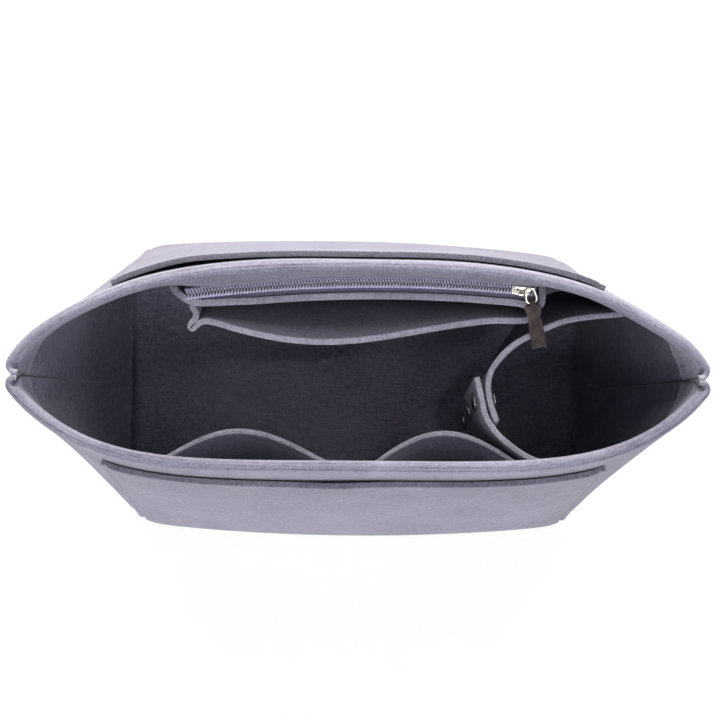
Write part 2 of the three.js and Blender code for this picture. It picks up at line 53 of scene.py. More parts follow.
mm = 0.001  # shapes are worked out in millimetres and scaled when a mesh is made
runShift = 0.37  # metres along the felt's pattern from one piece to the next
front, back = -1, 1
bothSides = ((front, "front"), (back, "back"))
print("frame loaded,", len(frame["nodes"]), "nodes")


# Meshes: a shape has points, faces, the finish of each face, and where each point lies along the felt

def addObject(name, data):
    made = bpy.data.objects.new(name, data)
    scene.collection.objects.link(made)
    return made


def addPiece(name, shape, finishes, edge=0.0):  # edge is how far its corners are rounded
    mesh = bpy.data.meshes.new(name)
    mesh.from_pydata((shape["points"] * mm).tolist(), [], shape["faces"])
    for finish in finishes:
        mesh.materials.append(finish)
    mesh.polygons.foreach_set("material_index", shape["kinds"])
    work = bmesh.new()
    work.from_mesh(mesh)
    bmesh.ops.recalc_face_normals(work, faces=work.faces)
    for face in work.faces:
        face.smooth = True
    work.to_mesh(mesh)
    work.free()
    run = shape["run"] * mm + runShift * len(bpy.data.meshes)
    mesh.attributes.new("run", "FLOAT_VECTOR", "POINT").data.foreach_set("vector", run.ravel())
    mesh.attributes.new("pressedAndLit", "FLOAT", "POINT").data.foreach_set("value", shape["pressedAndLit"])
    piece = addObject(name, mesh)
    if edge:
        bevel = piece.modifiers.new("edge", "BEVEL")
        bevel.width, bevel.segments = edge * mm, 3
        bevel.limit_method, bevel.angle_limit = "ANGLE", math.radians(50)
    return piece


def settle(piece, body, slot, *nodes):  # which body carries it and what it stands for; slot is not used
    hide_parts(*nodes)
    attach(piece, body)


def shapeOf(points, faces, kinds=None, run=None, pressedAndLit=None):
    points = np.asarray(points, float)
    return {
        "points": points, "faces": faces,
        "kinds": [0] * len(faces) if kinds is None else kinds,
        "run": points if run is None else np.asarray(run, float),
        "pressedAndLit": np.zeros(len(points)) if pressedAndLit is None else np.asarray(pressedAndLit, float).ravel(),
    }


def joined(*shapes):
    faces, count = [], 0
    for shape in shapes:
        faces += [[count + i for i in face] for face in shape["faces"]]
        count += len(shape["points"])
    kinds = [kind for shape in shapes for kind in shape["kinds"]]
    keys = ("points", "run", "pressedAndLit")
    points, run, pressedAndLit = (np.concatenate([shape[key] for shape in shapes]) for key in keys)
    return shapeOf(points, faces, kinds, run, pressedAndLit)


def gridRun(grid, layer):  # lengths along a grid's two ways
    def lengths(steps):
        return np.concatenate([[0.0], np.cumsum(steps)])
    along = lengths(np.linalg.norm(np.diff(grid, axis=0), axis=-1).mean(axis=1))
    across = lengths(np.linalg.norm(np.diff(grid, axis=1), axis=-1).mean(axis=0))
    return np.stack(np.broadcast_arrays(along[:, None], across[None, :], layer), axis=-1).reshape(-1, 3)


def slabShape(one, other):  # two faces of a sheet, each a grid of points, joined round the edge
    a, b = one.shape[:2]
    points = np.concatenate([one.reshape(-1, 3), other.reshape(-1, 3)])
    thickness = float(np.linalg.norm(one - other, axis=-1).mean())
    run = np.concatenate([gridRun(one, 0.0), gridRun(one, thickness)])
    at = np.arange(2 * a * b).reshape(2, a, b)
    faces, kinds = [], []

    def quads(grid, kind):
        corners = np.stack([grid[:-1, :-1], grid[1:, :-1], grid[1:, 1:], grid[:-1, 1:]], axis=-1)
        faces.extend(corners.reshape(-1, 4).tolist())
        kinds.extend([kind] * (corners.size // 4))

    quads(at[0], 0)
    quads(at[1], 0)
    for rim in (at[:, :, 0], at[:, :, -1], at[:, 0, :], at[:, -1, :]):
        quads(rim, 1)
    return shapeOf(points, faces, kinds, run)


def loftShape(loops, rowKinds=None, pressedAndLit=None, closed=False):  # loops is a row of closed sections
    a, b = loops.shape[:2]
    at = np.arange(a * b).reshape(a, b)
    ring = np.concatenate([at, at[:, :1]], axis=1)
    if closed:
        ring = np.concatenate([ring, ring[:1]], axis=0)
    corners = np.stack([ring[:-1, :-1], ring[1:, :-1], ring[1:, 1:], ring[:-1, 1:]], axis=-1)
    faces = corners.reshape(-1, 4).tolist()
    kinds = [0] * len(faces)
    if rowKinds is not None:
        kinds = np.broadcast_to(rowKinds, corners.shape[:2]).reshape(-1).tolist()
    if not closed:
        faces += [at[0].tolist(), at[-1][::-1].tolist()]
        kinds += [0 if rowKinds is None else 1] * 2
    return shapeOf(loops.reshape(-1, 3), faces, kinds, gridRun(loops, 0.0), pressedAndLit)


def tubeLoops(path, radius, sides=12, closed=False, up=(0, 0, 1)):
    path = np.asarray(path, float)
    if closed:
        along = np.roll(path, -1, axis=0) - np.roll(path, 1, axis=0)
    else:
        along = np.gradient(path, axis=0)
    along = unit(along)
    side = unit(np.cross(along, np.asarray(up, float)))
    over = np.cross(side, along)
    turn = np.linspace(0, 2 * math.pi, sides, endpoint=False)
    radius = np.broadcast_to(radius, len(path))
    ring = np.cos(turn)[None, :, None] * side[:, None] + np.sin(turn)[None, :, None] * over[:, None]
    return path[:, None] + ring * radius[:, None, None]


def smooth(edge0, edge1, value):
    share = np.clip((np.asarray(value, float) - edge0) / (edge1 - edge0), 0, 1)
    return share * share * (3 - 2 * share)


def lerp(a, b, share):
    return a + (b - a) * share


def hump(value, middle, spread):
    return np.exp(-((np.asarray(value, float) - middle) / spread) ** 2)


def even(count):  # shares from 0 to 1
    return np.linspace(0, 1, count)


def gridOf(one, other):
    return np.meshgrid(one, other, indexing="ij")


def unit(vectors):
    return vectors / np.linalg.norm(vectors, axis=-1)[..., None]


def sideways(along):  # level, and square to the way along
    return unit(np.stack([-along[..., 1], along[..., 0], 0 * along[..., 2]], axis=-1))


# Finishes

class Wire:  # a shader socket that can be used in sums
    def __init__(self, tree, socket=None):
        self.tree, self.socket = tree, socket

    def node(self, kind, settings=None, inputs=None, out=0):
        made = self.tree.nodes.new("ShaderNode" + kind)
        for key, value in (settings or {}).items():
            setattr(made, key, value)
        for key, value in (inputs or {}).items():
            if isinstance(value, Wire):
                self.tree.links.new(value.socket, made.inputs[key])
            else:
                made.inputs[key].default_value = value
        return Wire(self.tree, made.outputs[out]) if len(made.outputs) else None

    def sum(self, operation, one, other):
        return self.node("Math", {"operation": operation}, {0: one, 1: other})

    def __add__(self, other):
        return self.sum("ADD", self, other)

    def __radd__(self, other):
        return self.sum("ADD", other, self)

    def __sub__(self, other):
        return self.sum("SUBTRACT", self, other)

    def __rsub__(self, other):
        return self.sum("SUBTRACT", other, self)

    def __mul__(self, other):
        return self.sum("MULTIPLY", self, other)

    def __rmul__(self, other):
        return self.sum("MULTIPLY", other, self)

    def place(self):  # where a point is on the object, in metres
        return self.node("TexCoord", out=3)

    def noise(self, place, scale, detail=2.0, roughness=0.5, stretch=None):
        if stretch:
            place = self.node("Mapping", {}, {"Vector": place, "Scale": stretch})
        settings = {"Vector": place, "Scale": scale, "Detail": detail, "Roughness": roughness}
        return self.node("TexNoise", {}, settings)

    def step(self, value, low, high):  # 0 below low, 1 above high
        inputs = {"Value": value, "From Min": low, "From Max": high}
        return self.node("MapRange", {"interpolation_type": "SMOOTHSTEP"}, inputs)

    def mix(self, share, one, other):
        return self.node("Mix", {"data_type": "RGBA"}, {0: share, 6: one, 7: other}, out=2)

    def bump(self, height, strength, depth):
        return self.node("Bump", {}, {"Strength": strength, "Distance": depth, "Height": height})


def rgb(red, green, blue):  # a screen colour, 0 to 255, as the shader's linear one
    def linear(part):
        part /= 255
        return part / 12.92 if part <= 0.04045 else ((part + 0.055) / 1.055) ** 2.4
    return (linear(red), linear(green), linear(blue), 1.0)


def freshWire(owner):
    owner.use_nodes = True
    owner.node_tree.nodes.clear()
    return Wire(owner.node_tree)


def newFinish(name, build, **constants):
    finish = bpy.data.materials.new(name)
    wire = freshWire(finish)
    inputs = dict(build(wire))
    inputs.update({key.replace("_", " "): value for key, value in constants.items()})
    shader = wire.node("BsdfPrincipled", {}, inputs)
    wire.node("OutputMaterial", {}, {"Surface": shader})
    return finish


feltLook = {
    "dark": rgb(71, 69, 83), "light": rgb(148, 145, 162), "bump": 0.4, "bumpDepth": 0.0006,
    "fleck": 900, "fleckShare": 1.1, "fibre": 1300, "fibreShare": 1.2, "cloud": 30, "cloudShare": 0.5,
    # rimShare paints a highlight: it makes the felt lighter on the rim roll and the top of the outer wall
    "mottle": 330, "mottleShare": 0.45, "line": 900, "lineShare": 0.32, "rimShare": 0.24,
}


def feltNodes(look):
    def build(wire):
        run = wire.node("Attribute", {"attribute_name": "run"}, out="Vector")
        pressedAndLit = wire.node("Attribute", {"attribute_name": "pressedAndLit"}, out="Fac")
        fleck = wire.noise(run, look["fleck"], 3.0, 0.65)
        along = wire.noise(run, look["fibre"], 3.0, 0.6, (0.1, 1.0, 1.0))
        over = wire.noise(run, look["fibre"], 3.0, 0.6, (0.9, 0.12, 1.0))
        cloud = wire.noise(run, look["cloud"], 3.0, 0.55)
        mottle = wire.noise(run, look["mottle"], 2.0, 0.5, (1.6, 1.0, 1.0))
        fibre = along * 0.75 + over * 0.25
        crease = wire.step(wire.noise(run, look["line"], 2.0, 0.5, (0.008, 1.0, 1.0)), 0.46, 0.38) * pressedAndLit
        tone = (fleck - 0.5) * look["fleckShare"] + (fibre - 0.5) * look["fibreShare"]
        tone = tone + (mottle - 0.5) * look["mottleShare"] + (cloud - 0.5) * look["cloudShare"]
        # painted highlight: the rim mask lifts the tone on the rim roll, and its pressed lines darken it
        tone = tone + 0.5 + pressedAndLit * look["rimShare"] - crease * look["lineShare"]
        height = fleck * 0.55 + fibre * 0.6 - crease * 0.8
        bump = wire.bump(height, look["bump"], look["bumpDepth"])
        return {"Base Color": wire.mix(tone, look["dark"], look["light"]), "Normal": bump}
    return build


# the base's felt is a lighter copy of the wall felt: painted light on the base
litBaseLook = dict(feltLook, dark=rgb(82, 79, 93), light=rgb(168, 163, 180))
# cut felt: the raw edges' coarser flecks, on a lighter tone that is painted light on the cut faces
cutLitLook = dict(
    feltLook, dark=rgb(91, 89, 101), light=rgb(180, 177, 191), bump=0.5,
    fleck=1000, fleckShare=1.5, fibreShare=0.3)
# the outer pockets' cut edges: a darker copy of the cut felt, painted shade
shadedEdgeLook = dict(cutLitLook, dark=rgb(64, 62, 73), light=rgb(140, 137, 151))
faceSheen = {"Roughness": 0.95, "Sheen_Weight": 0.2, "Sheen_Roughness": 0.45, "Specular_IOR_Level": 0.15}
cutSheen = {"Roughness": 1.0, "Sheen_Weight": 0.15, "Sheen_Roughness": 0.5, "Specular_IOR_Level": 0.1}
feltFace = newFinish("greyFelt", feltNodes(feltLook), **faceSheen)
litBaseFelt = newFinish("baseFeltLit", feltNodes(litBaseLook), **faceSheen)
cutLitFelt = newFinish("cutFeltLit", feltNodes(cutLitLook), **cutSheen)
shadedPocketEdgeFelt = newFinish("pocketEdgeShaded", feltNodes(shadedEdgeLook), **cutSheen)
felts = [feltFace, cutLitFelt]

tapeLook = {"dark": rgb(57, 53, 72), "light": rgb(119, 114, 138), "ribs": 240, "threads": 2200}


def tapeNodes(wire):
    run = wire.node("Attribute", {"attribute_name": "run"}, out="Vector")
    weave = {"Vector": run, "Scale": tapeLook["ribs"], "Distortion": 1.5, "Detail": 1.0}
    ribs = wire.node("TexWave", {"bands_direction": "X"}, weave)
    threads = wire.noise(run, tapeLook["threads"], 2.0, 0.5)
    tone = ribs * 0.6 + threads * 0.4
    color = wire.mix(tone, tapeLook["dark"], tapeLook["light"])
    return {"Base Color": color, "Normal": wire.bump(tone, 0.4, 0.0002)}


wovenTape = newFinish("wovenTape", tapeNodes, Roughness=0.85, Sheen_Weight=0.1)

coilLook = {"dark": rgb(142, 138, 160), "light": rgb(206, 202, 224), "grain": 900}


def coilNodes(wire):
    drawn = wire.noise(wire.place(), coilLook["grain"], 2.0, 0.5)
    color = wire.mix(drawn, coilLook["dark"], coilLook["light"])
    return {"Base Color": color, "Roughness": drawn * 0.25 + 0.35}


nylon = newFinish("nylonCoil", coilNodes, Specular_IOR_Level=0.5)

metalLook = {
    "bright": rgb(234, 232, 227), "warm": rgb(206, 200, 186), "worn": rgb(72, 66, 56),
    "patch": 420, "scratch": 700, "hollow": (0.45, 0.52),
}
snapLook = dict(metalLook, bright=rgb(196, 192, 188), warm=rgb(132, 128, 124), worn=rgb(60, 57, 55))


def metalNodes(look):
    def build(wire):
        patch = wire.noise(wire.place(), look["patch"], 3.0, 0.6)
        scratch = wire.noise(wire.place(), look["scratch"], 3.0, 0.7, (0.3, 4.0, 4.0))
        tone = wire.mix(patch, look["warm"], look["bright"])
        hollow = wire.step(wire.node("NewGeometry", out="Pointiness"), *look["hollow"])
        color = wire.mix(hollow, look["worn"], tone)
        bump = wire.bump(scratch, 0.08, 0.0001)
        return {"Base Color": color, "Roughness": scratch * 0.18 + 0.1, "Normal": bump}
    return build


paleMetal = newFinish("paleMetal", metalNodes(metalLook), Metallic=1.0)
snapMetal = newFinish("snapMetal", metalNodes(snapLook), Metallic=1.0)

leatherLook = {
    "dark": rgb(26, 19, 20), "light": rgb(70, 57, 56), "rubbedHighlight": rgb(140, 124, 117),
    "cells": 1700.0, "pores": 2600, "patch": 260,
}


def leatherNodes(wire):
    place = wire.place()
    grain = {"Vector": place, "Scale": leatherLook["cells"]}
    cells = wire.node("TexVoronoi", {"feature": "DISTANCE_TO_EDGE"}, grain)
    pores = wire.noise(place, leatherLook["pores"], 3.0, 0.6)
    patch = wire.step(wire.noise(place, leatherLook["patch"], 3.0, 0.6, (1.0, 0.6, 1.0)), 0.36, 0.66)
    # raised edges turn paler: partly rubbed wear, partly painted highlight
    worn = wire.step(wire.node("NewGeometry", out="Pointiness"), 0.53, 0.62)
    color = wire.mix(patch * 0.7 + pores * 0.3, leatherLook["dark"], leatherLook["light"])
    color = wire.mix(worn * 0.7, color, leatherLook["rubbedHighlight"])
    bump = wire.bump(wire.step(cells, 0.0, 0.16), 0.35, 0.0002)
    return {"Base Color": color, "Roughness": pores * 0.25 + 0.5, "Normal": bump}


softLeather = newFinish("softLeather", leatherNodes, Specular_IOR_Level=0.25)
print("finishes made")


# The walls' shape: each is ruled between its base and rim outlines and turns in at the side seams

felt = 3.0
seamGap = 0.4
wallSizes = {
    "baseTurn": (2.6, 180.0, 0.3), "rimTurn": (9.5, 145.0, 2.6),  # from, degrees, allowance
    "baseLength": 126.3, "baseDepth": 71.5, "baseEndBow": -1.5, "squareness": 14,
    "baseShift": -2.7, "backSkew": 0.01, "backSkewRight": 3.2,
    "rimLength": 182.0, "rimHeight": 160.0, "tipHeight": 143.0, "tipSetback": 4.0, "creaseRim": 0.93,
    front: {"reach": 187.2, "depth": 52.3, "sharpness": 4.8, "roundness": 1.02, "base": 69.2, "bow": 7.4,
            "hollow": {"left": 2.1, "right": 1.6}, "dents": []},
    back: {"reach": 183.1, "depth": 52.9, "sharpness": 2.83, "roundness": 0.645, "base": 71.5, "bow": 5.0,
           "hollow": {"left": 1.3, "right": -0.9},
           "dents": [(152.0, 22.0, 3.2), (-150.0, 28.0, 1.4)]},  # x, spread, depth
    "seamOpening": 0.1, "ripple": 0.5, "hollowSpread": 0.1,
}
ws = wallSizes
wallFoot = felt + seamGap
seamMiddle = (felt + ws["seamOpening"]) / 2
turnedEnd = 1.999  # share along a wall where its turned edge ends
creaseShare = ws["baseLength"] / (ws["baseLength"] + ws["baseDepth"])


def eachHand(u, sizes):
    return np.where(u < 0, sizes["left"], sizes["right"])


def measured(points):  # point at a share of a line's length
    points = np.asarray(points, float)
    run = np.concatenate([[0.0], np.cumsum(np.linalg.norm(np.diff(points, axis=0), axis=1))])

    def at(share):
        wanted = np.clip(share, 0, 1) * run[-1]
        return np.stack([np.interp(wanted, run, points[:, k]) for k in range(points.shape[1])], axis=-1)
    return at


def baseHalf(side):
    corner = 2 ** (-1 / ws["squareness"])
    first = np.linspace(0, corner, 61)
    other = (1 - first ** ws["squareness"]) ** (1 / ws["squareness"])
    along = np.concatenate([first, other[::-1][1:]])
    across = np.concatenate([other, first[::-1][1:]])
    x = ws["baseLength"] * along + ws["baseEndBow"] * (1 - across ** 2)
    y = ws[side]["base"] * across + ws[side]["bow"] * (1 - along ** 2)
    return np.stack([x, side * y], axis=-1)


def rimHalf(side):
    sizes = ws[side]
    along = 1 - (1 - even(241)) ** 2
    full = sizes["depth"] + side * ws["tipSetback"]
    across = full * (1 - along ** sizes["sharpness"]) ** sizes["roundness"]
    return np.stack([sizes["reach"] * along, side * across - ws["tipSetback"]], axis=-1)


def turnedAtSeam(points, seamY, side, turned):  # shares 0 to 1 are wall, 1 to 2 the turned edge
    away = side * (points[:, 1] - seamY)
    start = int(np.argmax(away < turned[0]))
    end, before = points[start], points[start - 1]
    heading = math.atan2(away[start - 1] - away[start], end[0] - before[0])
    last = math.radians(turned[1])
    radius = (away[start] - seamMiddle) / (math.cos(heading) - math.cos(last))
    centreX = end[0] - radius * math.sin(heading)
    centreY = seamY + side * (seamMiddle - radius * math.cos(last))
    turn = np.linspace(heading, last, 25)
    curl = np.stack([centreX + radius * np.sin(turn), centreY + side * radius * np.cos(turn)], axis=-1)
    curl = np.concatenate([curl, [[curl[-1, 0] - turned[2], seamY + side * seamMiddle]]])
    wallPart, turnedPart = measured(points[:start + 1]), measured(curl)

    def at(share):
        return np.where((share <= 1)[..., None], wallPart(share), turnedPart(share - 1))
    return at


def rimShare(share):  # the crease runs from the base corner to a point near the tip
    past = (share - creaseShare) / (1 - creaseShare)
    bent = np.where(past < 0, share / creaseShare * ws["creaseRim"], lerp(ws["creaseRim"], 1, past))
    return np.where(share >= 1, share, bent)


def rimZ(x):
    return ws["rimHeight"] - (ws["rimHeight"] - ws["tipHeight"]) * (x / ws["rimLength"]) ** 2


class Wall:
    def __init__(self, side):
        self.side = side
        self.base = turnedAtSeam(baseHalf(side), 0.0, side, ws["baseTurn"])
        self.rim = turnedAtSeam(rimHalf(side), -ws["tipSetback"], side, ws["rimTurn"])

    def ends(self, u):
        hand = np.where(u < 0, -1.0, 1.0)
        low, high = self.base(np.abs(u)), self.rim(rimShare(np.abs(u)))
        footX = hand * low[..., 0] + ws["baseShift"]
        skew = 0.0
        if self.side == back:
            right = np.clip(footX / ws["baseLength"], 0, None)
            skew = ws["backSkew"] * footX + ws["backSkewRight"] * right ** 2
            skew = skew * low[..., 1] / ws["baseDepth"]
        foot = np.stack([footX, low[..., 1] - skew, np.full_like(footX, wallFoot)], axis=-1)
        topX = hand * high[..., 0]
        dent = sum(depth * hump(topX, x, spread) for x, spread, depth in ws[self.side]["dents"])
        top = np.stack([topX, high[..., 1] - self.side * dent, rimZ(high[..., 0])], axis=-1)
        return foot, top

    def at(self, u, v):
        foot, top = self.ends(u)
        return foot + (top - foot) * np.asarray(v)[..., None]

    def share(self, u, z):  # how far up the wall height z is
        return (z - wallFoot) / (self.ends(u)[1][..., 2] - wallFoot)

    def offset(self, u, v, distance):  # a point that stands off the wall's middle, outwards
        u, v = np.broadcast_arrays(np.asarray(u, float), np.asarray(v, float))
        out = self.side * sideways(self.at(u + 0.004, v) - self.at(u - 0.004, v))
        swell = np.sin(7.3 * u + 1.1 * self.side) * np.sin(4.1 * v + 0.6) + 0.6 * np.sin(17 * u + 5 * v)
        belly = np.clip(4 * v * (1 - v), 0, 1)
        swell *= ws["ripple"] * belly * smooth(1.0, 0.9, np.abs(u))
        hollow = eachHand(u, ws[self.side]["hollow"])  # along the corner crease
        swell = swell - hollow * belly * hump(np.abs(u), creaseShare, ws["hollowSpread"])
        return self.at(u, v) + out * (np.asarray(distance) + swell)[..., None]

    def standing(self, u, z, distance):
        return self.offset(u, self.share(u, z), distance)

    def find(self, x, z):  # where along the wall x lies at height z
        x, z = np.broadcast_arrays(np.asarray(x, float), np.asarray(z, float))
        low, high = np.full(x.shape, -creaseShare), np.full(x.shape, creaseShare)
        for _ in range(40):
            u = (low + high) / 2
            left = self.at(u, self.share(u, z))[..., 0] < x
            low, high = np.where(left, u, low), np.where(left, high, u)
        return (low + high) / 2

    def inside(self, x, z, depth):
        u = self.find(x, z)
        return self.standing(u, np.asarray(z, float), -np.asarray(depth, float))


walls = {front: Wall(front), back: Wall(back)}

hemSizes = {
    "depth": 14.0, "thickness": felt + seamGap, "fade": 1.0, "end": 1.5, "rawFrom": 1.65, "footRound": 0.9,
    "lean": 3.0, "leanX": -64.0, "leanSpread": 36.0, "zipLean": 2.5, "zipLeanX": (-105.0, -80.0, 80.0, 105.0),
    "closeFrom": 0.95, "closeStep": 0.03, "closeShort": 2.4, "closeGap": 0.3,
    "fuzzX": 158.0, "fuzzFrom": 0.8, "edge": (0.2, 0.8),
    "tipX": (115.0, 175.0), "tipDepth": {"left": 2.0, "right": 6.0},
}
hs = hemSizes


def wallColumns():  # shares along the wall, closer together at the crease and the turned edge
    parts = ((0, 0.56, 90), (0.56, 0.7, 40), (0.7, 1, 70), (1, turnedEnd, 22))
    half = np.concatenate([[0.0]] + [np.linspace(*part)[1:] for part in parts])
    return np.concatenate([-half[::-1][:-1], half])


def hemmedWall(wall):  # the felt rises, rolls over at the rim and hangs down inside as a hem
    u = wallColumns()
    topPoint = wall.ends(u)[1]
    x, rim = topPoint[:, 0], topPoint[:, 2]
    full = smooth(hs["end"], hs["fade"], rimShare(np.abs(u)))
    hem = hs["thickness"] * full
    roll = (felt + hem) / 2
    lean = 0.0
    if wall.side == back:
        fromX, fullX, lastX, toX = hs["zipLeanX"]
        lean = hs["zipLean"] * smooth(fromX, fullX, x) * smooth(toX, lastX, x)
        lean = lean + hs["lean"] * hump(x, hs["leanX"], hs["leanSpread"])
    rows, kinds, pressedAndLit, inner = [], [], [], []

    def row(z, distance, kind=0, linedAndLit=0.0, inside=0.0):
        rows.append(np.stack(np.broadcast_arrays(z, distance + np.zeros_like(u)), axis=-1))
        kinds.append(np.broadcast_to(kind, u.shape))
        pressedAndLit.append(np.broadcast_to(linedAndLit, u.shape))
        inner.append(inside)

    half = felt / 2
    tip = eachHand(u, hs["tipDepth"]) * smooth(*hs["tipX"], np.abs(x))
    hemFoot = rim - (hs["depth"] + tip) * np.maximum(full, 0.3)
    footRound, (edge, corner) = hs["footRound"], hs["edge"]
    # The rim mask marks pressed lines and a painted highlight: on the top of the outer wall and over the roll,
    # strongest on the roll's outer side
    for share in even(44):
        row(lerp(wallFoot + footRound, rim - roll, share), half, 0, smooth(0.9, 0.99, share))
    raw = (np.abs(u) > hs["rawFrom"]).astype(int)
    for turn in np.linspace(0, math.pi, 26)[1:-1]:
        linedAndLit = full * lerp(0.55, 1.0, smooth(2.2, 1.0, turn))
        row(rim - roll + roll * math.sin(turn), half - roll + roll * math.cos(turn), raw, linedAndLit)
    atTip = np.abs(x) > hs["fuzzX"]
    for share in even(9):
        fuzzy = (atTip & (share > hs["fuzzFrom"])).astype(int)
        out = -(half + hem) - lean * share * full
        row(lerp(rim - roll, hemFoot + 0.7, share), out, fuzzy, 0.0, smooth(0.0, 0.2, share))
    row(hemFoot + edge, -(half + hem) - (lean - edge) * full, 1, 0.0, 1.0)
    row(hemFoot, -(half + hem) - (lean - corner) * full, 1, 0.0, 1.0)
    row(hemFoot, -half - edge * full, 1, 0.0, 1.0)
    for share in even(34):
        row(lerp(hemFoot - 0.3, wallFoot + footRound, share), -half, 0, 0.0, 1.0)
    row(wallFoot + 0.3 + 0 * u, -half + 0.3, 0, 0.0, 1.0)
    row(wallFoot + 0 * u, -half + footRound, 1)
    row(wallFoot + 0 * u, half - 0.6, 1)
    section = np.stack(rows, axis=1)
    around = np.broadcast_to(u[:, None], section.shape[:2])
    loops = wall.standing(around, section[..., 0], section[..., 1])
    loops = closedSeam(wall, loops, around, section, np.array(inner))
    return loftShape(loops, np.stack(kinds, axis=1)[:-1], np.stack(pressedAndLit, axis=1))


def closedSeam(wall, loops, u, section, inner):  # inner faces run on straight and meet in a thin line
    hand, start = np.where(u < 0, -1.0, 1.0), hs["closeFrom"]
    past = np.clip((np.abs(u) - start) / (1 - start), 0, 1)
    z, distance = section[..., 0], section[..., 1]
    last = hand * start
    near = wall.standing(last, z, distance)
    heading = near - wall.standing(last - hand * hs["closeStep"], z, distance)
    end = wall.at(hand * turnedEnd, wall.share(u, z))
    seamY = end[..., 1] - wall.side * (seamMiddle + hs["closeGap"])
    meet = near + heading * ((seamY - near[..., 1]) / heading[..., 1])[..., None]
    limit = np.abs(wall.at(hand, wall.share(u, z))[..., 0]) - hs["closeShort"]
    meet[..., 0] = hand * np.minimum(np.abs(meet[..., 0]), limit)
    meet[..., 2] = z
    share = inner * (past > 0)
    return lerp(loops, lerp(near, meet, past[..., None]), share[..., None])


for side, name in bothSides:
    piece = addPiece(name + "_wall_felt", hemmedWall(walls[side]), felts)
    settle(piece, "felt_body", "felt", name + "_panel", name + "_rim_facing")
print("walls made")


# Base, with a sewn groove along the walls' feet

baseEdge = {"border": 9, "flat": 2, "corner": [(0.7, 0), (0.2, 0.2), (0, 0.7)]}  # inset and height
baseGroove = {"from": 3.1, "to": 4.8, "depth": 1.5, "slope": 0.35}


def basePanel():
    u = np.linspace(-1, 1, 281)
    frontEdge, backEdge = (walls[side].offset(u, 0 * u, felt / 2) for side in (front, back))
    edge = np.concatenate([frontEdge, backEdge[::-1]])
    heart = np.array([ws["baseShift"], 0, 0])

    def ring(inset, z):
        away = edge - heart
        size = np.linalg.norm(away[:, :2], axis=1)
        points = heart + away * (1 - inset / size)[:, None]
        points[:, 2] = z
        return points

    border, flat, corner = baseEdge["border"], baseEdge["flat"], baseEdge["corner"]
    profile = [(border, 0), (flat, 0)] + corner + [(inset, felt - z) for inset, z in corner[::-1]]
    start, end, slope = baseGroove["from"], baseGroove["to"], baseGroove["slope"]
    dip = felt - baseGroove["depth"]
    profile += [(flat, felt), (start, felt), (start + slope, dip), (end - slope, dip)]
    profile += [(end, felt), (border, felt)]
    loops = np.stack([ring(inset, z) for inset, z in profile])
    cutRows = np.array([0] * 3 + [1] * 3 + [0] * 7)
    shape = loftShape(loops, cutRows[:, None])
    shape["run"] = shape["points"]
    shape["kinds"][-2:] = [0, 0]
    return shape


# the base takes the lighter felt copy, which paints light on it
settle(addPiece("base_felt", basePanel(), [litBaseFelt, cutLitFelt]), "felt_body", "felt", "base_panel")


# Outer slip pockets, sewn down along both sides

outerPocket = {
    "drop": 19.0, "gap": 0.55, "sewnGap": 0.15, "gapReach": 6.0, "flatness": 4, "halfWidth": 95.0,
    front: {"foot": 0.624, "top": 0.493, "shift": -0.007, "sewnDepth": 0.9, "endDrop": 0.2,
            "gape": 0.1, "bulge": 1.0, "bulgeX": -12.0, "bulgeSpread": 20.0},
    back: {"foot": 0.61, "top": 0.479, "shift": 0.0, "sewnDepth": 0.3, "endDrop": 0.0,
           "gape": 0.3, "bulge": 1.9, "bulgeX": -94.0, "bulgeSpread": 24.0},
    "seamInset": 2.2, "seamWidth": 0.55, "endReach": (3.0, 1.2),
    "cornerDrop": 0.6, "cornerReach": 9.0, "cornerRise": 0.16,
}
op = outerPocket


def outerPocketAt(wall, across, up, depth):
    sizes = op[wall.side]
    u = across * lerp(sizes["foot"], sizes["top"], up) + sizes["shift"] * up
    v = up * wall.share(u, wall.ends(u)[1][..., 2] - op["drop"])
    x = wall.at(u, v)[..., 0]
    opening = (sizes["gape"] + sizes["bulge"] * hump(x, sizes["bulgeX"], sizes["bulgeSpread"])) * up ** 2
    opening = opening * (1 - np.abs(across) ** op["flatness"])
    sewn = (1 - np.abs(across)) * op["halfWidth"]
    gap = op["gap"] * smooth(0.0, op["gapReach"], sewn) + op["sewnGap"]
    if depth > 0:
        depth = depth - sizes["sewnDepth"] * hump(sewn, op["seamInset"], op["seamWidth"])
        depth = depth - sizes["endDrop"] * smooth(*op["endReach"], sewn)
        corner = smooth(op["cornerReach"], 1.0, sewn) * smooth(op["cornerRise"], 0.0, up)
        depth = depth - op["cornerDrop"] * corner  # the lower corners are pressed flat
    return wall.offset(u, v, felt + gap + opening + depth)


def pocketGrid():  # closer together along the sewn sides
    half = op["halfWidth"]
    fine = np.concatenate([np.linspace(0, 5, 26), np.linspace(5, half, 76)[1:]]) / half
    across = np.concatenate([fine - 1, (1 - fine[::-1])[1:]])
    return gridOf(across, even(49))


for side, name in bothSides:
    across, up = pocketGrid()
    faces = [outerPocketAt(walls[side], across, up, depth) for depth in (felt / 2, -felt / 2)]
    # the pockets' cut edges take the darker felt copy, which paints shade on them
    piece = addPiece(name + "_pocket_felt", slabShape(*faces), [feltFace, shadedPocketEdgeFelt], edge=0.5)
    settle(piece, "felt_body", "felt", name + "_outer_pocket")
print("base and outer pockets made")


# Zip

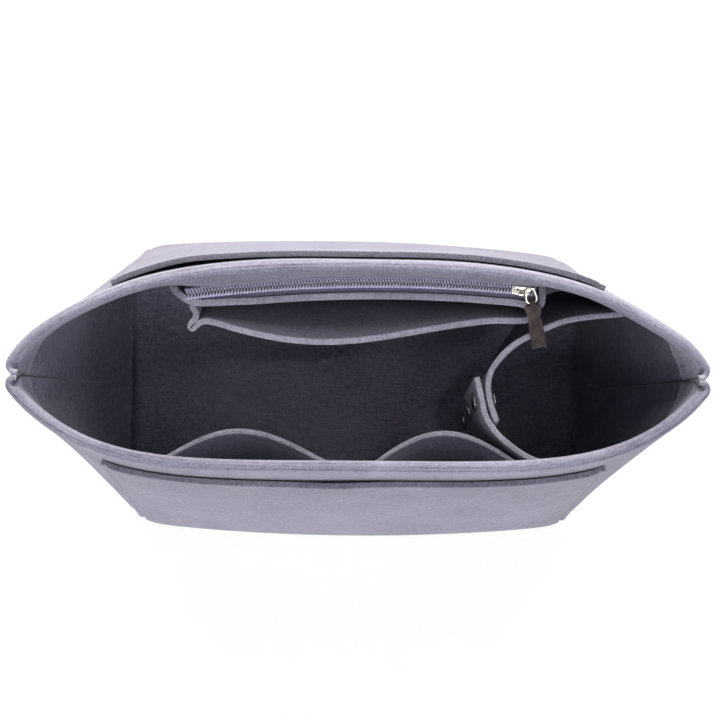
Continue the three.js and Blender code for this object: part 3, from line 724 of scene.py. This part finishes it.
zipSizes = {
    "height": 136.0, "sag": 4.1, "apex": 0.077, "left": -0.4766, "right": 0.506,
    "overrun": 2.6, "tape": 0.6, "tapeSlot": 0.6, "tapeEdge": 4.85, "tapeWave": 0.12,
    "coilHeight": 2.2, "pitch": 1.6, "barWidth": 0.43, "barInset": (0.8, 1.2), "cord": 0.5, "cordOut": 2.35,
    "bar": [(-0.5, 3.0, 0.4, 0.65), (-0.46, 2.85, 1.2, 0.9), (-0.28, 2.3, 1.8, 1.0), (0.05, 1.3, 2.05, 1.0),
            (0.4, 0.3, 1.85, 0.95), (0.46, -0.1, 1.3, 0.7)],  # along, out, up, share of the width
}
zs = zipSizes
zipTravel = next(joint for joint in frame["joints"] if joint["name"] == "zip_travel")
zipApexX = zs["apex"] * ws["rimLength"]
zipLeftX = zs["left"] * ws["rimLength"]
zipRightX = zs["right"] * ws["rimLength"]
zipStartX = zipLeftX - zs["overrun"]
zipZ = zs["height"]
zipRadius = ((zipRightX - zipApexX) ** 2 + zs["sag"] ** 2) / (2 * zs["sag"])
zipCentreY = zipTravel["pos_m"][1] / mm


def zipPoint(x, setback, z):
    x, setback, z = np.broadcast_arrays(*(np.asarray(part, float) for part in (x, setback, z)))
    turn = np.arcsin((x - zipApexX) / zipRadius)
    radius = zipRadius + setback
    return np.stack([zipApexX + radius * np.sin(turn), zipCentreY + radius * np.cos(turn), z], axis=-1)


def zipTape(side):  # a woven strip from the slot between the coils to the felt it is sewn to
    along = np.linspace(zipStartX, zipRightX, 180)
    x, out = gridOf(along, even(9))
    near = zipPoint(x, side * zs["tapeSlot"], zipZ)
    if side == front:
        far = zipPoint(x, -zs["tapeEdge"], zipZ)
    else:
        far = walls[back].inside(x, zipZ, felt / 2 + seamGap)
    sheet = lerp(near, far, out[..., None])
    sheet[..., 2] += zs["tapeWave"] * np.sin(x * 0.21 + side) * np.sin(math.pi * out)
    under, over = sheet.copy(), sheet.copy()
    over[..., 2] += zs["tape"]
    return slabShape(over, under)


coilFoot = zipZ + zs["tape"] + seamGap


def coilTurns(side):  # each turn of the nylon shows as a slanted, humped bar
    pitch, thick = zs["pitch"], zs["cord"]
    startInset, endInset = zs["barInset"]
    along, out, rise, share = np.array(zs["bar"]).T
    first = zipLeftX + startInset - zs["overrun"] + (pitch / 2 if side == front else 0)
    bars = []
    for start in np.arange(first, zipRightX - endInset, pitch):
        path = zipPoint(start + along, side * out, coilFoot + rise)
        bars.append(loftShape(tubeLoops(path, zs["barWidth"] * share, 8, up=(1, 0, 0.2))))
    cord = zipPoint(np.linspace(zipStartX, zipRightX, 90), side * zs["cordOut"], coilFoot + thick)
    return joined(*bars, loftShape(tubeLoops(cord, thick, 8)))


for side, name in bothSides:
    tape = addPiece("zip_tape_cloth_" + name, zipTape(side), [wovenTape, wovenTape])
    settle(tape, "felt_body", "zip_tape", "zip_tape_" + name)
    coil = addPiece("zip_coil_turns_" + name, coilTurns(side), [nylon])
    settle(coil, "felt_body", "zip_coil", "zip_coil_" + name)
print("zip made")


# Inner pockets on the back wall

def smoothRun(points, count):  # an even run of points along a curve through the given ones
    points = np.asarray(points, float)
    ends = np.concatenate([[2 * points[0] - points[1]], points, [2 * points[-1] - points[-2]]])
    line = []
    for i in range(1, len(ends) - 2):
        p0, p1, p2, p3 = ends[i - 1:i + 3]
        d0, d1, d2 = (max(np.linalg.norm(b - a) ** 0.5, 1e-6) for a, b in ((p0, p1), (p1, p2), (p2, p3)))
        t1 = ((p1 - p0) / d0 - (p2 - p0) / (d0 + d1) + (p2 - p1) / d1) * d1
        t2 = ((p2 - p1) / d1 - (p3 - p1) / (d1 + d2) + (p3 - p2) / d2) * d1
        s = np.linspace(0, 1, 24, endpoint=False)[:, None]
        line.append((2 * s ** 3 - 3 * s ** 2 + 1) * p1 + (s ** 3 - 2 * s ** 2 + s) * t1
                    + (3 * s ** 2 - 2 * s ** 3) * p2 + (s ** 3 - s ** 2) * t2)
    line = np.concatenate(line + [ends[-2][None]])
    return measured(line)(even(count))


def ruledFelt(top, foot, rows, thickness=felt):  # a sheet of felt between a top and a foot line
    down = even(rows)[None, :, None]
    middle = lerp(top[:, None], foot[:, None], down)
    out = sideways(np.gradient(middle, axis=0)) * thickness / 2
    return slabShape(middle + out, middle - out)


def addPocket(name, sheet, node):
    settle(addPiece(name, sheet, felts, edge=0.6), "felt_body", "felt", node)


innerFoot, innerTaper, layerPitch, rootSeat = 45.0, 0.94, felt + 0.6, felt + 1.2
zipPanel = {
    "setback": 7.3, "overrun": 2.2, "rightReach": 1.5, "rise": 1.5, "drop": 3.5, "thickness": 3.5,
    "leftReach": 9.5, "straightFrom": 33.0, "climb": (-12, -4),
    "leftBend": [(-7.8, 40.3), (-3.9, 36.9), (-0.3, 34.9), (3.4, 34.0), (10.1, 34.0), (20.4, 34.6)],
}


def onBackWall(x, z, layers):
    return walls[back].inside(x, z, layers * layerPitch)


def zipPanelSheet():
    top = zipZ + zipPanel["rise"]
    rightX = zipRightX + zipPanel["overrun"]
    rootZ = top - zipPanel["drop"]
    left = walls[back].inside([zipLeftX - zipPanel["overrun"] - zipPanel["leftReach"]], rootZ, rootSeat)
    right = walls[back].inside([rightX + zipPanel["rightReach"]], rootZ, rootSeat)
    x, y = np.array(zipPanel["leftBend"]).T
    bend = np.column_stack([zipLeftX + x, y, lerp(rootZ, top, smooth(*zipPanel["climb"], x))])
    run = zipPoint(np.linspace(zipLeftX + zipPanel["straightFrom"], rightX, 12), -zipPanel["setback"], top)
    line = smoothRun(np.concatenate([left, bend, run, right]), 170)
    foot = onBackWall(line[:, 0] * innerTaper, innerFoot, 1)
    return ruledFelt(line, foot, 36, zipPanel["thickness"])


addPocket("zip_pocket_felt", zipPanelSheet(), "zip_pocket_panel")

slipPocket = {
    "drop": 3.5, "leftInset": 1.5, "rightInset": 5.0, "gape": 16.4, "gapeSkew": 0.76, "gapeRound": 1.45,
    "startGape": 4.0, "endGape": 6.7, "end": [(2.6, 5.6), (4.4, 3.8), (5.0, 1.2)],
    "pleat": [(0.2, 33.4), (1.2, 31.6), (2.6, 29.2), (2.3, 26.3), (-0.2, 22.9), (0.7, 20.9),
              (3.2, 23.0), (6.9, 24.9), (12.0, 24.3)],  # along the zip, y
    "thickness": 3.1,
}


def slipPocketSheet():  # it leaves the zip pocket in a small hooked pleat and gapes in the middle
    z = zipZ - slipPocket["drop"]
    leftX, rightX = zipLeftX + slipPocket["leftInset"], zipRightX - slipPocket["rightInset"]
    face = zipPanel["setback"] + felt / 2
    share = np.linspace(0.13, 1.0, 10)
    swell = np.sin(math.pi * share ** slipPocket["gapeSkew"]).clip(0) ** slipPocket["gapeRound"]
    gape = lerp(slipPocket["startGape"], slipPocket["endGape"], share) + slipPocket["gape"] * swell
    pleat = np.array([(zipLeftX + x, y, z) for x, y in slipPocket["pleat"]])
    across = np.append(lerp(leftX, rightX, share), [rightX + x for x, _ in slipPocket["end"]])
    run = zipPoint(across, -(face + np.append(gape, [out for _, out in slipPocket["end"]])), z)
    line = smoothRun(np.concatenate([pleat, run]), 260)
    foot = onBackWall(line[:, 0] * innerTaper, innerFoot, 2)
    return ruledFelt(line, foot, 36, slipPocket["thickness"])


addPocket("slip_pocket_felt", slipPocketSheet(), "back_slip_pocket")


# Slip pockets on the front wall

frontPockets = {
    "drop": 30.0, "left": -0.58, "right": 0.485, "divide": 2.0, "bulge": 21.3,
    "skew": {"left": 0.85, "right": 1.0}, "roundness": {"left": 1.25, "right": 1.0},
}


def frontPocketSheet(fromX, toX, skew, roundness):
    wall = walls[front]
    z = ws["rimHeight"] - frontPockets["drop"]
    start, end = wall.find(np.array([fromX, toX]), z)
    across, up = gridOf(even(110), even(36))
    u = lerp(start, end, across)
    height = lerp(innerFoot, z, up)
    bulge = frontPockets["bulge"] * np.sin(math.pi * across ** skew).clip(0) ** roundness * up
    middle = -(felt + seamGap + bulge)
    return slabShape(wall.standing(u, height, middle + felt / 2), wall.standing(u, height, middle - felt / 2))


reach = ws["rimLength"]
for name, fromX, toX in (("left", frontPockets["left"] * reach, -frontPockets["divide"]),
                         ("right", frontPockets["divide"], frontPockets["right"] * reach)):
    sheet = frontPocketSheet(fromX, toX, frontPockets["skew"][name], frontPockets["roundness"][name])
    addPocket("front_slip_felt_" + name, sheet, "front_slip_pocket_" + name)
print("inner pockets made")


# Slider, ring and leather pull, in the slider's own frame

sliderSizes = {
    "inset": 7.0, "half": 5.75, "clearance": 0.4, "plate": 1.2, "bore": 1.1, "rise": 0.6, "bailShift": 2.5,
    "floorShare": 0.45, "floorTail": -3.6, "lipRise": 0.65,
    "widths": [(-5.75, 3.1), (-3.5, 3.4), (-0.9, 4.2), (0.8, 4.2), (2.4, 3.4), (3.4, 2.3), (4.0, 1.0)],
    "nose": 4.0, "lip": (-5.2, 2.4), "tail": {"x": -5.35, "y": -0.25, "bow": 0.3, "half": 3.3, "radius": 0.62},
    "rib": {"from": -4.6, "to": 3.4, "y": 0.75, "half": 1.35, "height": 1.15},
    "bulge": {"x": -0.5, "y": -2.9, "spread": (1.3, 0.9), "height": 0.75},
    "slit": {"y": -0.75, "width": 0.28, "depth": 0.6, "from": (-3.4, -2.6), "to": (3.2, 2.4)},
    "hole": {"x": -3.3, "y": -0.45, "radius": 0.5, "depth": 1.0},
}
ss = sliderSizes
sliderX = zipRightX - ss["inset"]
sliderTurn = -math.asin((sliderX - zipApexX) / zipRadius)
sliderPlace = Matrix.Translation(Vector(zipPoint(sliderX, 0, 0))) @ Matrix.Rotation(sliderTurn, 4, "Z")
coverTop = coilFoot + zs["coilHeight"] + ss["clearance"] + ss["plate"]
ringZ = coverTop + seamGap + ss["bore"] + ss["rise"]


def rotation(degrees, axis):
    return Matrix.Rotation(math.radians(degrees), 4, axis)


def lineNormals(line):
    along = unit(np.gradient(line, axis=0))
    return np.column_stack([-along[:, 1], along[:, 0]])


def placed(shape, place):
    turn, move = np.array(place.to_3x3()), np.array(place.to_translation())
    return dict(shape, points=shape["points"] @ turn.T + move)


def sliderPlate(low, high, relief=None, tail=-ss["half"], share=1.0):  # relief is its raised top
    along = np.linspace(tail, ss["nose"], 84)
    x, across = gridOf(along, np.linspace(-1, 1, 61))
    y = across * share * np.interp(along, *zip(*ss["widths"]))[:, None]
    worn = 0.5 * smooth(0.82, 1.0, np.abs(across)) ** 2 + 0.4 * smooth(ss["nose"] - 1.2, ss["nose"], x) ** 2
    over = high - worn + (relief(x, y) if relief else 0.0)
    return slabShape(np.stack([x, y, over], axis=-1), np.stack([x, y, np.full_like(x, low)], axis=-1))


def sliderRelief(x, y):
    rib, bulge, slit, hole = ss["rib"], ss["bulge"], ss["slit"], ss["hole"]
    taper = smooth(rib["to"] + 0.6, rib["to"] - 4.0, x)
    half = rib["half"] * lerp(0.45, 1.0, taper)
    dome = np.sqrt(np.clip(1 - ((y - rib["y"]) / half) ** 2, 0, 1))
    rise = rib["height"] * dome * smooth(rib["from"] - 0.6, rib["from"] + 0.3, x)
    rise = rise * smooth(rib["to"] + 0.5, rib["to"] - 0.6, x)
    spreadX, spreadY = bulge["spread"]
    rise = rise + bulge["height"] * hump(x, bulge["x"], spreadX) * hump(y, bulge["y"], spreadY)
    cut = slit["depth"] * hump(y, slit["y"], slit["width"])
    rise = rise - cut * smooth(*slit["from"], x) * smooth(*slit["to"], x)
    reach = np.hypot(x - hole["x"], y - hole["y"])
    return rise - hole["depth"] * smooth(hole["radius"] * 1.25, hole["radius"] * 0.75, reach)


def tailBar():  # the bright raised bar at the slider's tail
    tail, across = ss["tail"], np.linspace(-1, 1, 21)
    x = tail["x"] - tail["bow"] * (1 - across ** 2)
    path = np.column_stack([x, tail["half"] * across + tail["y"], coverTop + 0.05 + 0 * across])
    return loftShape(tubeLoops(path, tail["radius"] * np.sqrt(np.clip(1.02 - across ** 8, 0, 1)), 12))


def sliderLip(side):  # the turned-down side that holds the chain
    x = np.linspace(*ss["lip"], 30)
    out = np.interp(x, *zip(*ss["widths"]))
    low, high = zipZ + zs["tape"] + ss["clearance"] + ss["lipRise"], coverTop - 0.6
    rows = [(-0.75, low + 0.1), (-0.65, low), (-0.15, low), (0.0, low + 0.25), (0.0, high), (-0.75, high)]
    lines = [np.column_stack([x, side * (out + d), np.full_like(x, z)]) for d, z in rows]
    return loftShape(np.stack(lines, axis=1))


cover = sliderPlate(coverTop - ss["plate"], coverTop, sliderRelief)
floorTop = zipZ - ss["clearance"]
floorPlate = sliderPlate(floorTop - ss["plate"], floorTop, None, ss["floorTail"], ss["floorShare"])
shell = joined(cover, floorPlate, tailBar(), sliderLip(front), sliderLip(back))
piece = addPiece("slider_shell", placed(shell, sliderPlace), [paleMetal, paleMetal])
settle(piece, "zip_slider", "pale_metal", "slider_body")

bridgeSizes = {"half": 1.62, "width": 1.1, "wall": 0.45, "arch": 1.1}


def bridge():  # the strap over the ring's rear bar
    turn = np.linspace(0, math.pi, 21)
    half, wide, thick = bridgeSizes["half"], bridgeSizes["width"], bridgeSizes["wall"]
    foot = coverTop - 0.2
    arch = np.column_stack([half * np.cos(turn), ringZ + 0.45 + bridgeSizes["arch"] * np.sin(turn)])
    line = measured(np.concatenate([[[half, foot]], arch, [[-half, foot]]]))(even(60))
    out = -lineNormals(line)
    ends = np.linspace(0, 2 * math.pi, 16, endpoint=False)
    x = ss["bailShift"] + wide * np.sign(np.cos(ends)) * np.abs(np.cos(ends)) ** 0.4
    d = thick * np.sign(np.sin(ends)) * np.abs(np.sin(ends)) ** 0.6
    loops = [np.column_stack([x, y + ny * d, z + nz * d]) for (y, z), (ny, nz) in zip(line, out)]
    return loftShape(np.array(loops))


piece = addPiece("slider_bridge", placed(bridge(), sliderPlace), [paleMetal])
settle(piece, "zip_slider", "pale_metal", "slider_bail")

ringSizes = {
    "tilt": 12.0, "yaw": 16.0, "length": 7.4, "wire": 0.6, "slide": 0.5,
    "rear": (2.1, 0.9), "fore": (2.75, 2.3),  # half width, corner radius
}
rs = ringSizes
ringPlace = sliderPlace @ Matrix.Translation((ss["bailShift"], 0, ringZ)) @ rotation(rs["yaw"], "Z")
ringPlace = ringPlace @ rotation(rs["tilt"], "X") @ Matrix.Translation((rs["slide"], 0, 0))


def ringLine():  # a rounded wire, wider at the leather than in the slider
    (rear, small), (fore, large) = rs["rear"], rs["fore"]
    length = rs["length"]
    corners = [((rear - small, -small), small, 90, 0), ((fore - large, large - length), large, 0, -90),
               ((large - fore, large - length), large, -90, -180), ((small - rear, -small), small, 180, 90)]
    line = []
    for (x, y), radius, start, end in corners:
        turn = np.radians(np.linspace(start, end, 14))
        line.append(np.column_stack([x + radius * np.cos(turn), y + radius * np.sin(turn), 0 * turn]))
    run = np.concatenate(line)
    return measured(np.concatenate([run, run[:1]]))(np.linspace(0, 1, 110, endpoint=False))


wire = loftShape(tubeLoops(ringLine(), rs["wire"], 14, closed=True), closed=True)
settle(addPiece("pull_wire", placed(wire, ringPlace), [paleMetal]), "ring", "pale_metal", "pull_ring")

pullSizes = {
    "tilt": 14.0, "leather": 1.0, "eye": 1.6, "waist": 8.0, "ridge": 0.9, "lowerShort": 1.2,
    "widths": [(-3, 3.0), (0.7, 3.1), (1.2, 7.6), (1.9, 8.3), (4.0, 8.0), (6.6, 6.6),
               (7.5, 5.6), (8.2, 5.7), (9.2, 7.0), (14, 7.4), (23.5, 7.9)],
    "halves": [(23.5, 1.0), (20, 0.85), (16, 0.72), (12.5, 0.66), (10, 0.6), (8, 0.56),
               (6.4, 0.62), (4.6, 0.8), (3.2, 1.15)],  # down from the ring, off the middle
}
ps = pullSizes
pullPlace = ringPlace @ Matrix.Translation((0, -rs["length"], 0)) @ rotation(ps["tilt"] - rs["tilt"], "X")


def leatherStrip():  # one strip, folded round the wire and pinched into a waist below it
    eye, waist = ps["eye"], ps["waist"]
    down, spread = np.array(ps["halves"]).T
    length = down[0]
    turn = np.radians(np.linspace(125, -125, 15))
    fold = np.column_stack([eye * np.cos(turn), eye * np.sin(turn)])
    upper = np.column_stack([-down, spread])
    lower = np.column_stack([-down[::-1], -spread[::-1]])
    lower[-1, 0] += ps["lowerShort"]
    line = smoothRun(np.concatenate([upper, fold, lower]), 300)
    out = lineNormals(line)
    width = np.interp(-line[:, 0], *zip(*ps["widths"]))
    width = np.convolve(np.pad(width, 2, mode="edge"), np.ones(5) / 5, mode="valid")
    half, thick = 0.5, ps["leather"] / 2
    across = np.concatenate([np.linspace(-half, half, 17), np.linspace(half, -half, 17)])
    skin = np.concatenate([np.ones(17), -np.ones(17)])
    soften = np.where(np.abs(across) > 0.49, 0.5, 1.0)
    loops = []
    for (y, z), (ny, nz), w in zip(line, out, width):
        past = smooth(waist, length, -y)
        split = lerp(0.02, 0.36, past)
        ridge = ps["ridge"] * past ** 0.5 * hump(np.abs(across), split, 0.1) if y < -waist else 0 * across
        crown = 0.35 * (1 - (2 * across) ** 2) * smooth(1.0, 3.0, -y) * smooth(waist, 5.0, -y)
        lift = (ridge + crown) * (1 if z > 0 else -0.3)
        d = skin * thick * soften
        loops.append(np.column_stack([across * w, y + ny * d, z + nz * d + lift]))
    return loftShape(np.array(loops))


piece = addPiece("leather_tab", placed(leatherStrip(), pullPlace), [softLeather])
settle(piece, "pull", "leather", "leather_pull")
print("slider, ring and pull made")


# Bottle holder flaps: one piece of felt each, from its seat on the wall to its loose edge

flapSizes = {
    "top": 134.5, "foot": 40.0, "snap": (0.349 * ws["rimLength"], -13.0), "turn": 9.2,
    "lean": 0.1, "slip": 0.12, "spacing": 6.2, "thickness": 3.1, "bendReach": 5.0,
    "front": {"hinge": -12.0, "rootX": 0.55, "rootTop": 131.5, "footX": 0.83,
              "edge": [(61.3, -2.9), (63.6, -12.9), (66.0, -23.0), (70.3, -30.2), (77.6, -37.4),
                       (88.0, -44.2)]},
    "back": {"hinge": 12.0, "rootX": 0.766, "rootTop": 128.0, "footX": 0.968,
             "edge": [(71.8, -26.0), (68.8, -17.5), (67.3, -8.4), (68.6, -0.4), (74.3, 8.2),
                      (82.5, 15.2), (95.9, 21.8), (106.0, 26.2), (118.0, 28.7)]},
}
fs = flapSizes
flapTurn = math.radians(fs["turn"])
flapAlong = np.array([-math.sin(flapTurn), math.cos(flapTurn), 0.0])
flapNormal = np.array([math.cos(flapTurn), math.sin(flapTurn), 0.0])
frontSnap = np.array([*fs["snap"], 0.0])
backSnap = frontSnap + flapNormal * fs["spacing"]


def leaned(point, z):
    drop = z - fs["top"]
    low = np.asarray(point) + drop * (flapNormal * fs["lean"] + flapAlong * fs["slip"])
    return np.array([low[0], low[1], z])


def flapSheet(wall, sizes):  # the edge's points are shared out between the lean and the seat on the wall
    edge = np.array([(x, y, 0.0) for x, y in sizes["edge"]])
    along = np.linalg.norm(np.diff(edge, axis=0), axis=1).cumsum()
    hold = np.concatenate([[0.0], along / (along[-1] + np.linalg.norm(edge[-1] - edge[-2]))])

    def line(z, rootX, rootZ):
        seat = wall.inside([rootX], rootZ, rootSeat)[0]
        loose = np.array([leaned(point, z) for point in edge])
        topSeat = wall.inside([sizes["rootX"] * ws["rimLength"]], sizes["rootTop"], rootSeat)[0]
        pull = (seat - leaned(topSeat, z)) * smooth(0.25, 1.0, hold)[:, None]
        pull[:, 2] = (rootZ - z) * smooth(0.6, 1.0, hold)
        return smoothRun(np.concatenate([loose + pull, [seat]]), 130)

    top = line(fs["top"], sizes["rootX"] * ws["rimLength"], sizes["rootTop"])
    foot = line(fs["foot"], sizes["footX"] * ws["baseLength"], fs["foot"])
    return ruledFelt(top, foot, 40, fs["thickness"])


hingeAxis = unit(flapNormal * fs["lean"] + flapAlong * fs["slip"] + np.array([0, 0, 1.0]))
bendWay = unit(flapAlong - hingeAxis * (flapAlong @ hingeAxis))
for side, snap, name in ((front, frontSnap, "front"), (back, backSnap, "back")):
    sizes = fs[name]
    flap = addPiece(name + "_flap_felt", flapSheet(walls[side], sizes), felts, edge=0.6)
    hinge = leaned(snap + flapAlong * sizes["hinge"], (fs["top"] + fs["foot"]) / 2)
    toRoot = bendWay * math.copysign(fs["bendReach"], sizes["hinge"])
    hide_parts(name + "_flap_end", name + "_flap_root")
    name + "_flap"
    (hinge + toRoot) * mm
    (hinge - toRoot) * mm
    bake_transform(flap)

snapHeights = {"top": 120.0, "middle": 95.0, "lower": 70.0}
snapSizes = {
    "cap": 5.0, "capHeight": 1.4, "socket": 4.5, "bore": 2.55, "socketHeight": 1.5,
    "dome": [(0.02, 1.0), (0.35, 0.97), (0.62, 0.86), (0.8, 0.66), (0.9, 0.5), (0.96, 0.44),
             (1.0, 0.28), (1.0, 0.08), (0.97, 0.0), (0.02, 0.0)],  # shares of the cap's radius and height
}
snapAxis = unit(flapNormal - np.array([0, 0, fs["lean"]]))


def turnedSnap(profile, z, count=40):
    profile = np.asarray(profile, float)
    one = unit(np.cross(snapAxis, [0, 0, 1]))
    other = np.cross(snapAxis, one)
    turn = np.linspace(0, 2 * math.pi, count, endpoint=False)
    way = np.cos(turn)[:, None] * one + np.sin(turn)[:, None] * other
    out, along = profile[:, 0][:, None, None], profile[:, 1][:, None]
    return loftShape(leaned(frontSnap, z) + out * way + (along * snapAxis)[:, None])


def domed(face, hand):  # a cap's outside, from its rim to its crown
    radius, height = snapSizes["cap"], snapSizes["capHeight"]
    return [(radius * r, face + hand * height * h) for r, h in snapSizes["dome"]]


sheet = felt / 2
frontFace = sheet + seamGap
backFace = fs["spacing"] - sheet - seamGap
backCap = fs["spacing"] + sheet + seamGap
bore, outer = snapSizes["bore"], snapSizes["socket"]
socketTop = frontFace + snapSizes["socketHeight"]
socket = [(bore, frontFace + 0.1), (bore + 0.2, frontFace), (outer, frontFace), (outer, frontFace + 0.35),
          (3.6, frontFace + 0.55), (3.3, socketTop - 0.2), (3.0, socketTop), (2.75, socketTop),
          (bore, socketTop - 0.25), (bore, frontFace + 0.1)]
stud = [(0.02, sheet + 0.6), (1.2, sheet + 0.62), (1.75, sheet + 0.9), (1.9, sheet + 1.3),
        (1.6, backFace - 0.9), (1.7, backFace - 0.7), (3.6, backFace - 0.62), (4.0, backFace - 0.4),
        (4.0, backFace), (0.02, backFace)]
for label, z in snapHeights.items():
    for kind, body, profile in (
            ("front_snap_cap_", "front_flap", domed(-frontFace, -1)),
            ("front_snap_socket_", "front_flap", socket),
            ("back_snap_stud_", "back_flap", stud),
            ("back_snap_cap_", "back_flap", domed(backCap, 1))):
        piece = addPiece(kind + label + "_metal", turnedSnap(profile, z), [snapMetal])
        settle(piece, body, "pale_metal", kind + label)
print("bottle holder made")


# Stage, light and camera

stageSizes = {"size": 4.0, "white": 0.9, "glow": 0.86}


def seenDirectly(wire):  # 1 for the camera and for mirror and glass rays
    seen = wire.node("LightPath", out="Is Camera Ray") + wire.node("LightPath", out="Is Glossy Ray")
    return wire.sum("MINIMUM", seen + wire.node("LightPath", out="Is Transmission Ray"), 1.0)


def stageFinish():
    finish = bpy.data.materials.new("paleFloor")
    wire = freshWire(finish)
    matte = wire.node("BsdfDiffuse", {}, {"Color": (stageSizes["white"],) * 3 + (1.0,)})
    glow = wire.node("Emission", {}, {"Color": (1, 1, 1, 1), "Strength": 1.0})
    surface = wire.node("MixShader", {}, {0: seenDirectly(wire) * stageSizes["glow"], 1: matte, 2: glow})
    wire.node("OutputMaterial", {}, {"Surface": surface})
    return finish


half = stageSizes["size"] / 2
floorMesh = bpy.data.meshes.new("pale_floor")
corners = [(-half, -half, 0), (half, -half, 0), (half, half, 0), (-half, half, 0)]
floorMesh.from_pydata(corners, [], [(0, 1, 2, 3)])
floorMesh.materials.append(stageFinish())
floor = addObject("pale_floor", floorMesh)

worldLight = {"strength": 0.03}
scene.world = bpy.data.worlds.new("softRoom")
sky = freshWire(scene.world)
level = seenDirectly(sky) * (1 - worldLight["strength"]) + worldLight["strength"]
room = sky.node("Background", {}, {"Color": (1, 1, 1, 1), "Strength": level})
sky.node("OutputWorld", {}, {"Surface": room})

lamps = {  # place and size in metres, power in watts
    "front_mid": {"place": (-0.5, -1.4, 0.9), "size": (1.2, 0.5), "power": 18.5, "tint": (1, 0.985, 0.97)},
    "front_low": {"place": (-0.25, -1.4, 0.45), "size": (0.5, 0.2), "power": 0.24, "tint": (1, 0.96, 0.92),
                  "spread": 14, "aim": (-0.08, -0.08, -0.02)},
    "front_high": {"place": (0.2, -0.9, 1.5), "size": (0.8, 0.6), "power": 12, "tint": (0.9, 0.92, 1)},
    "back_left": {"place": (-0.6, 1.5, 0.55), "size": (1.0, 0.5), "power": 39, "tint": (1, 0.97, 0.91)},
    "back_right": {"place": (0.6, 1.5, 0.55), "size": (1.0, 0.5), "power": 28, "tint": (1, 0.97, 0.91)},
    "back_high": {"place": (0.45, 1.0, 1.4), "size": (1.2, 0.6), "power": 13, "tint": (1, 0.99, 0.97)},
    "right_high": {"place": (1.2, -0.1, 1.3), "size": (0.8, 0.6), "power": 3.4, "tint": (0.9, 0.92, 1)},
    "right_top": {"place": (0.6, -0.1, 1.8), "size": (0.6, 0.6), "power": 0.5, "tint": (1, 1, 1)},
    "base_fill": {"place": (0.25, 0.0, 1.6), "size": (0.12, 0.1), "power": 0.006, "tint": (0.94, 0.94, 1),
                  "spread": 7},
}
for name, lamp in lamps.items():
    light = bpy.data.lights.new(name, "AREA")
    light.shape = "RECTANGLE"
    light.size, light.size_y = lamp["size"]
    light.energy = lamp["power"]
    light.color = lamp["tint"]
    light.spread = math.radians(lamp.get("spread", 180))
    holder = addObject(name, light)
    holder.location = lamp["place"]
    aim = Vector(lamp.get("aim", (0, 0, 0.1))) - Vector(lamp["place"])
    holder.rotation_euler = aim.to_track_quat("-Z", "Y").to_euler()

cameraSizes = {
    "target": (0.001, 0.00955, 0.08), "distance": 1.799, "elevation": 85.5, "roll": 0.45, "lens": 168.95,
}
cameraData = bpy.data.cameras.new("camera")
cameraData.sensor_width = 36.0
cameraData.lens = cameraSizes["lens"]
cameraData.clip_start, cameraData.clip_end = 0.1, 20.0
camera = addObject("camera", cameraData)
height = math.radians(cameraSizes["elevation"])
away = Vector((0, -math.cos(height), math.sin(height)))
camera.location = Vector(cameraSizes["target"]) + away * cameraSizes["distance"]
facing = (-away).to_track_quat("-Z", "Y").to_matrix().to_4x4()
camera.rotation_euler = (facing @ rotation(cameraSizes["roll"], "Z")).to_euler()
scene.camera = camera
print("stage, lamps and camera made")
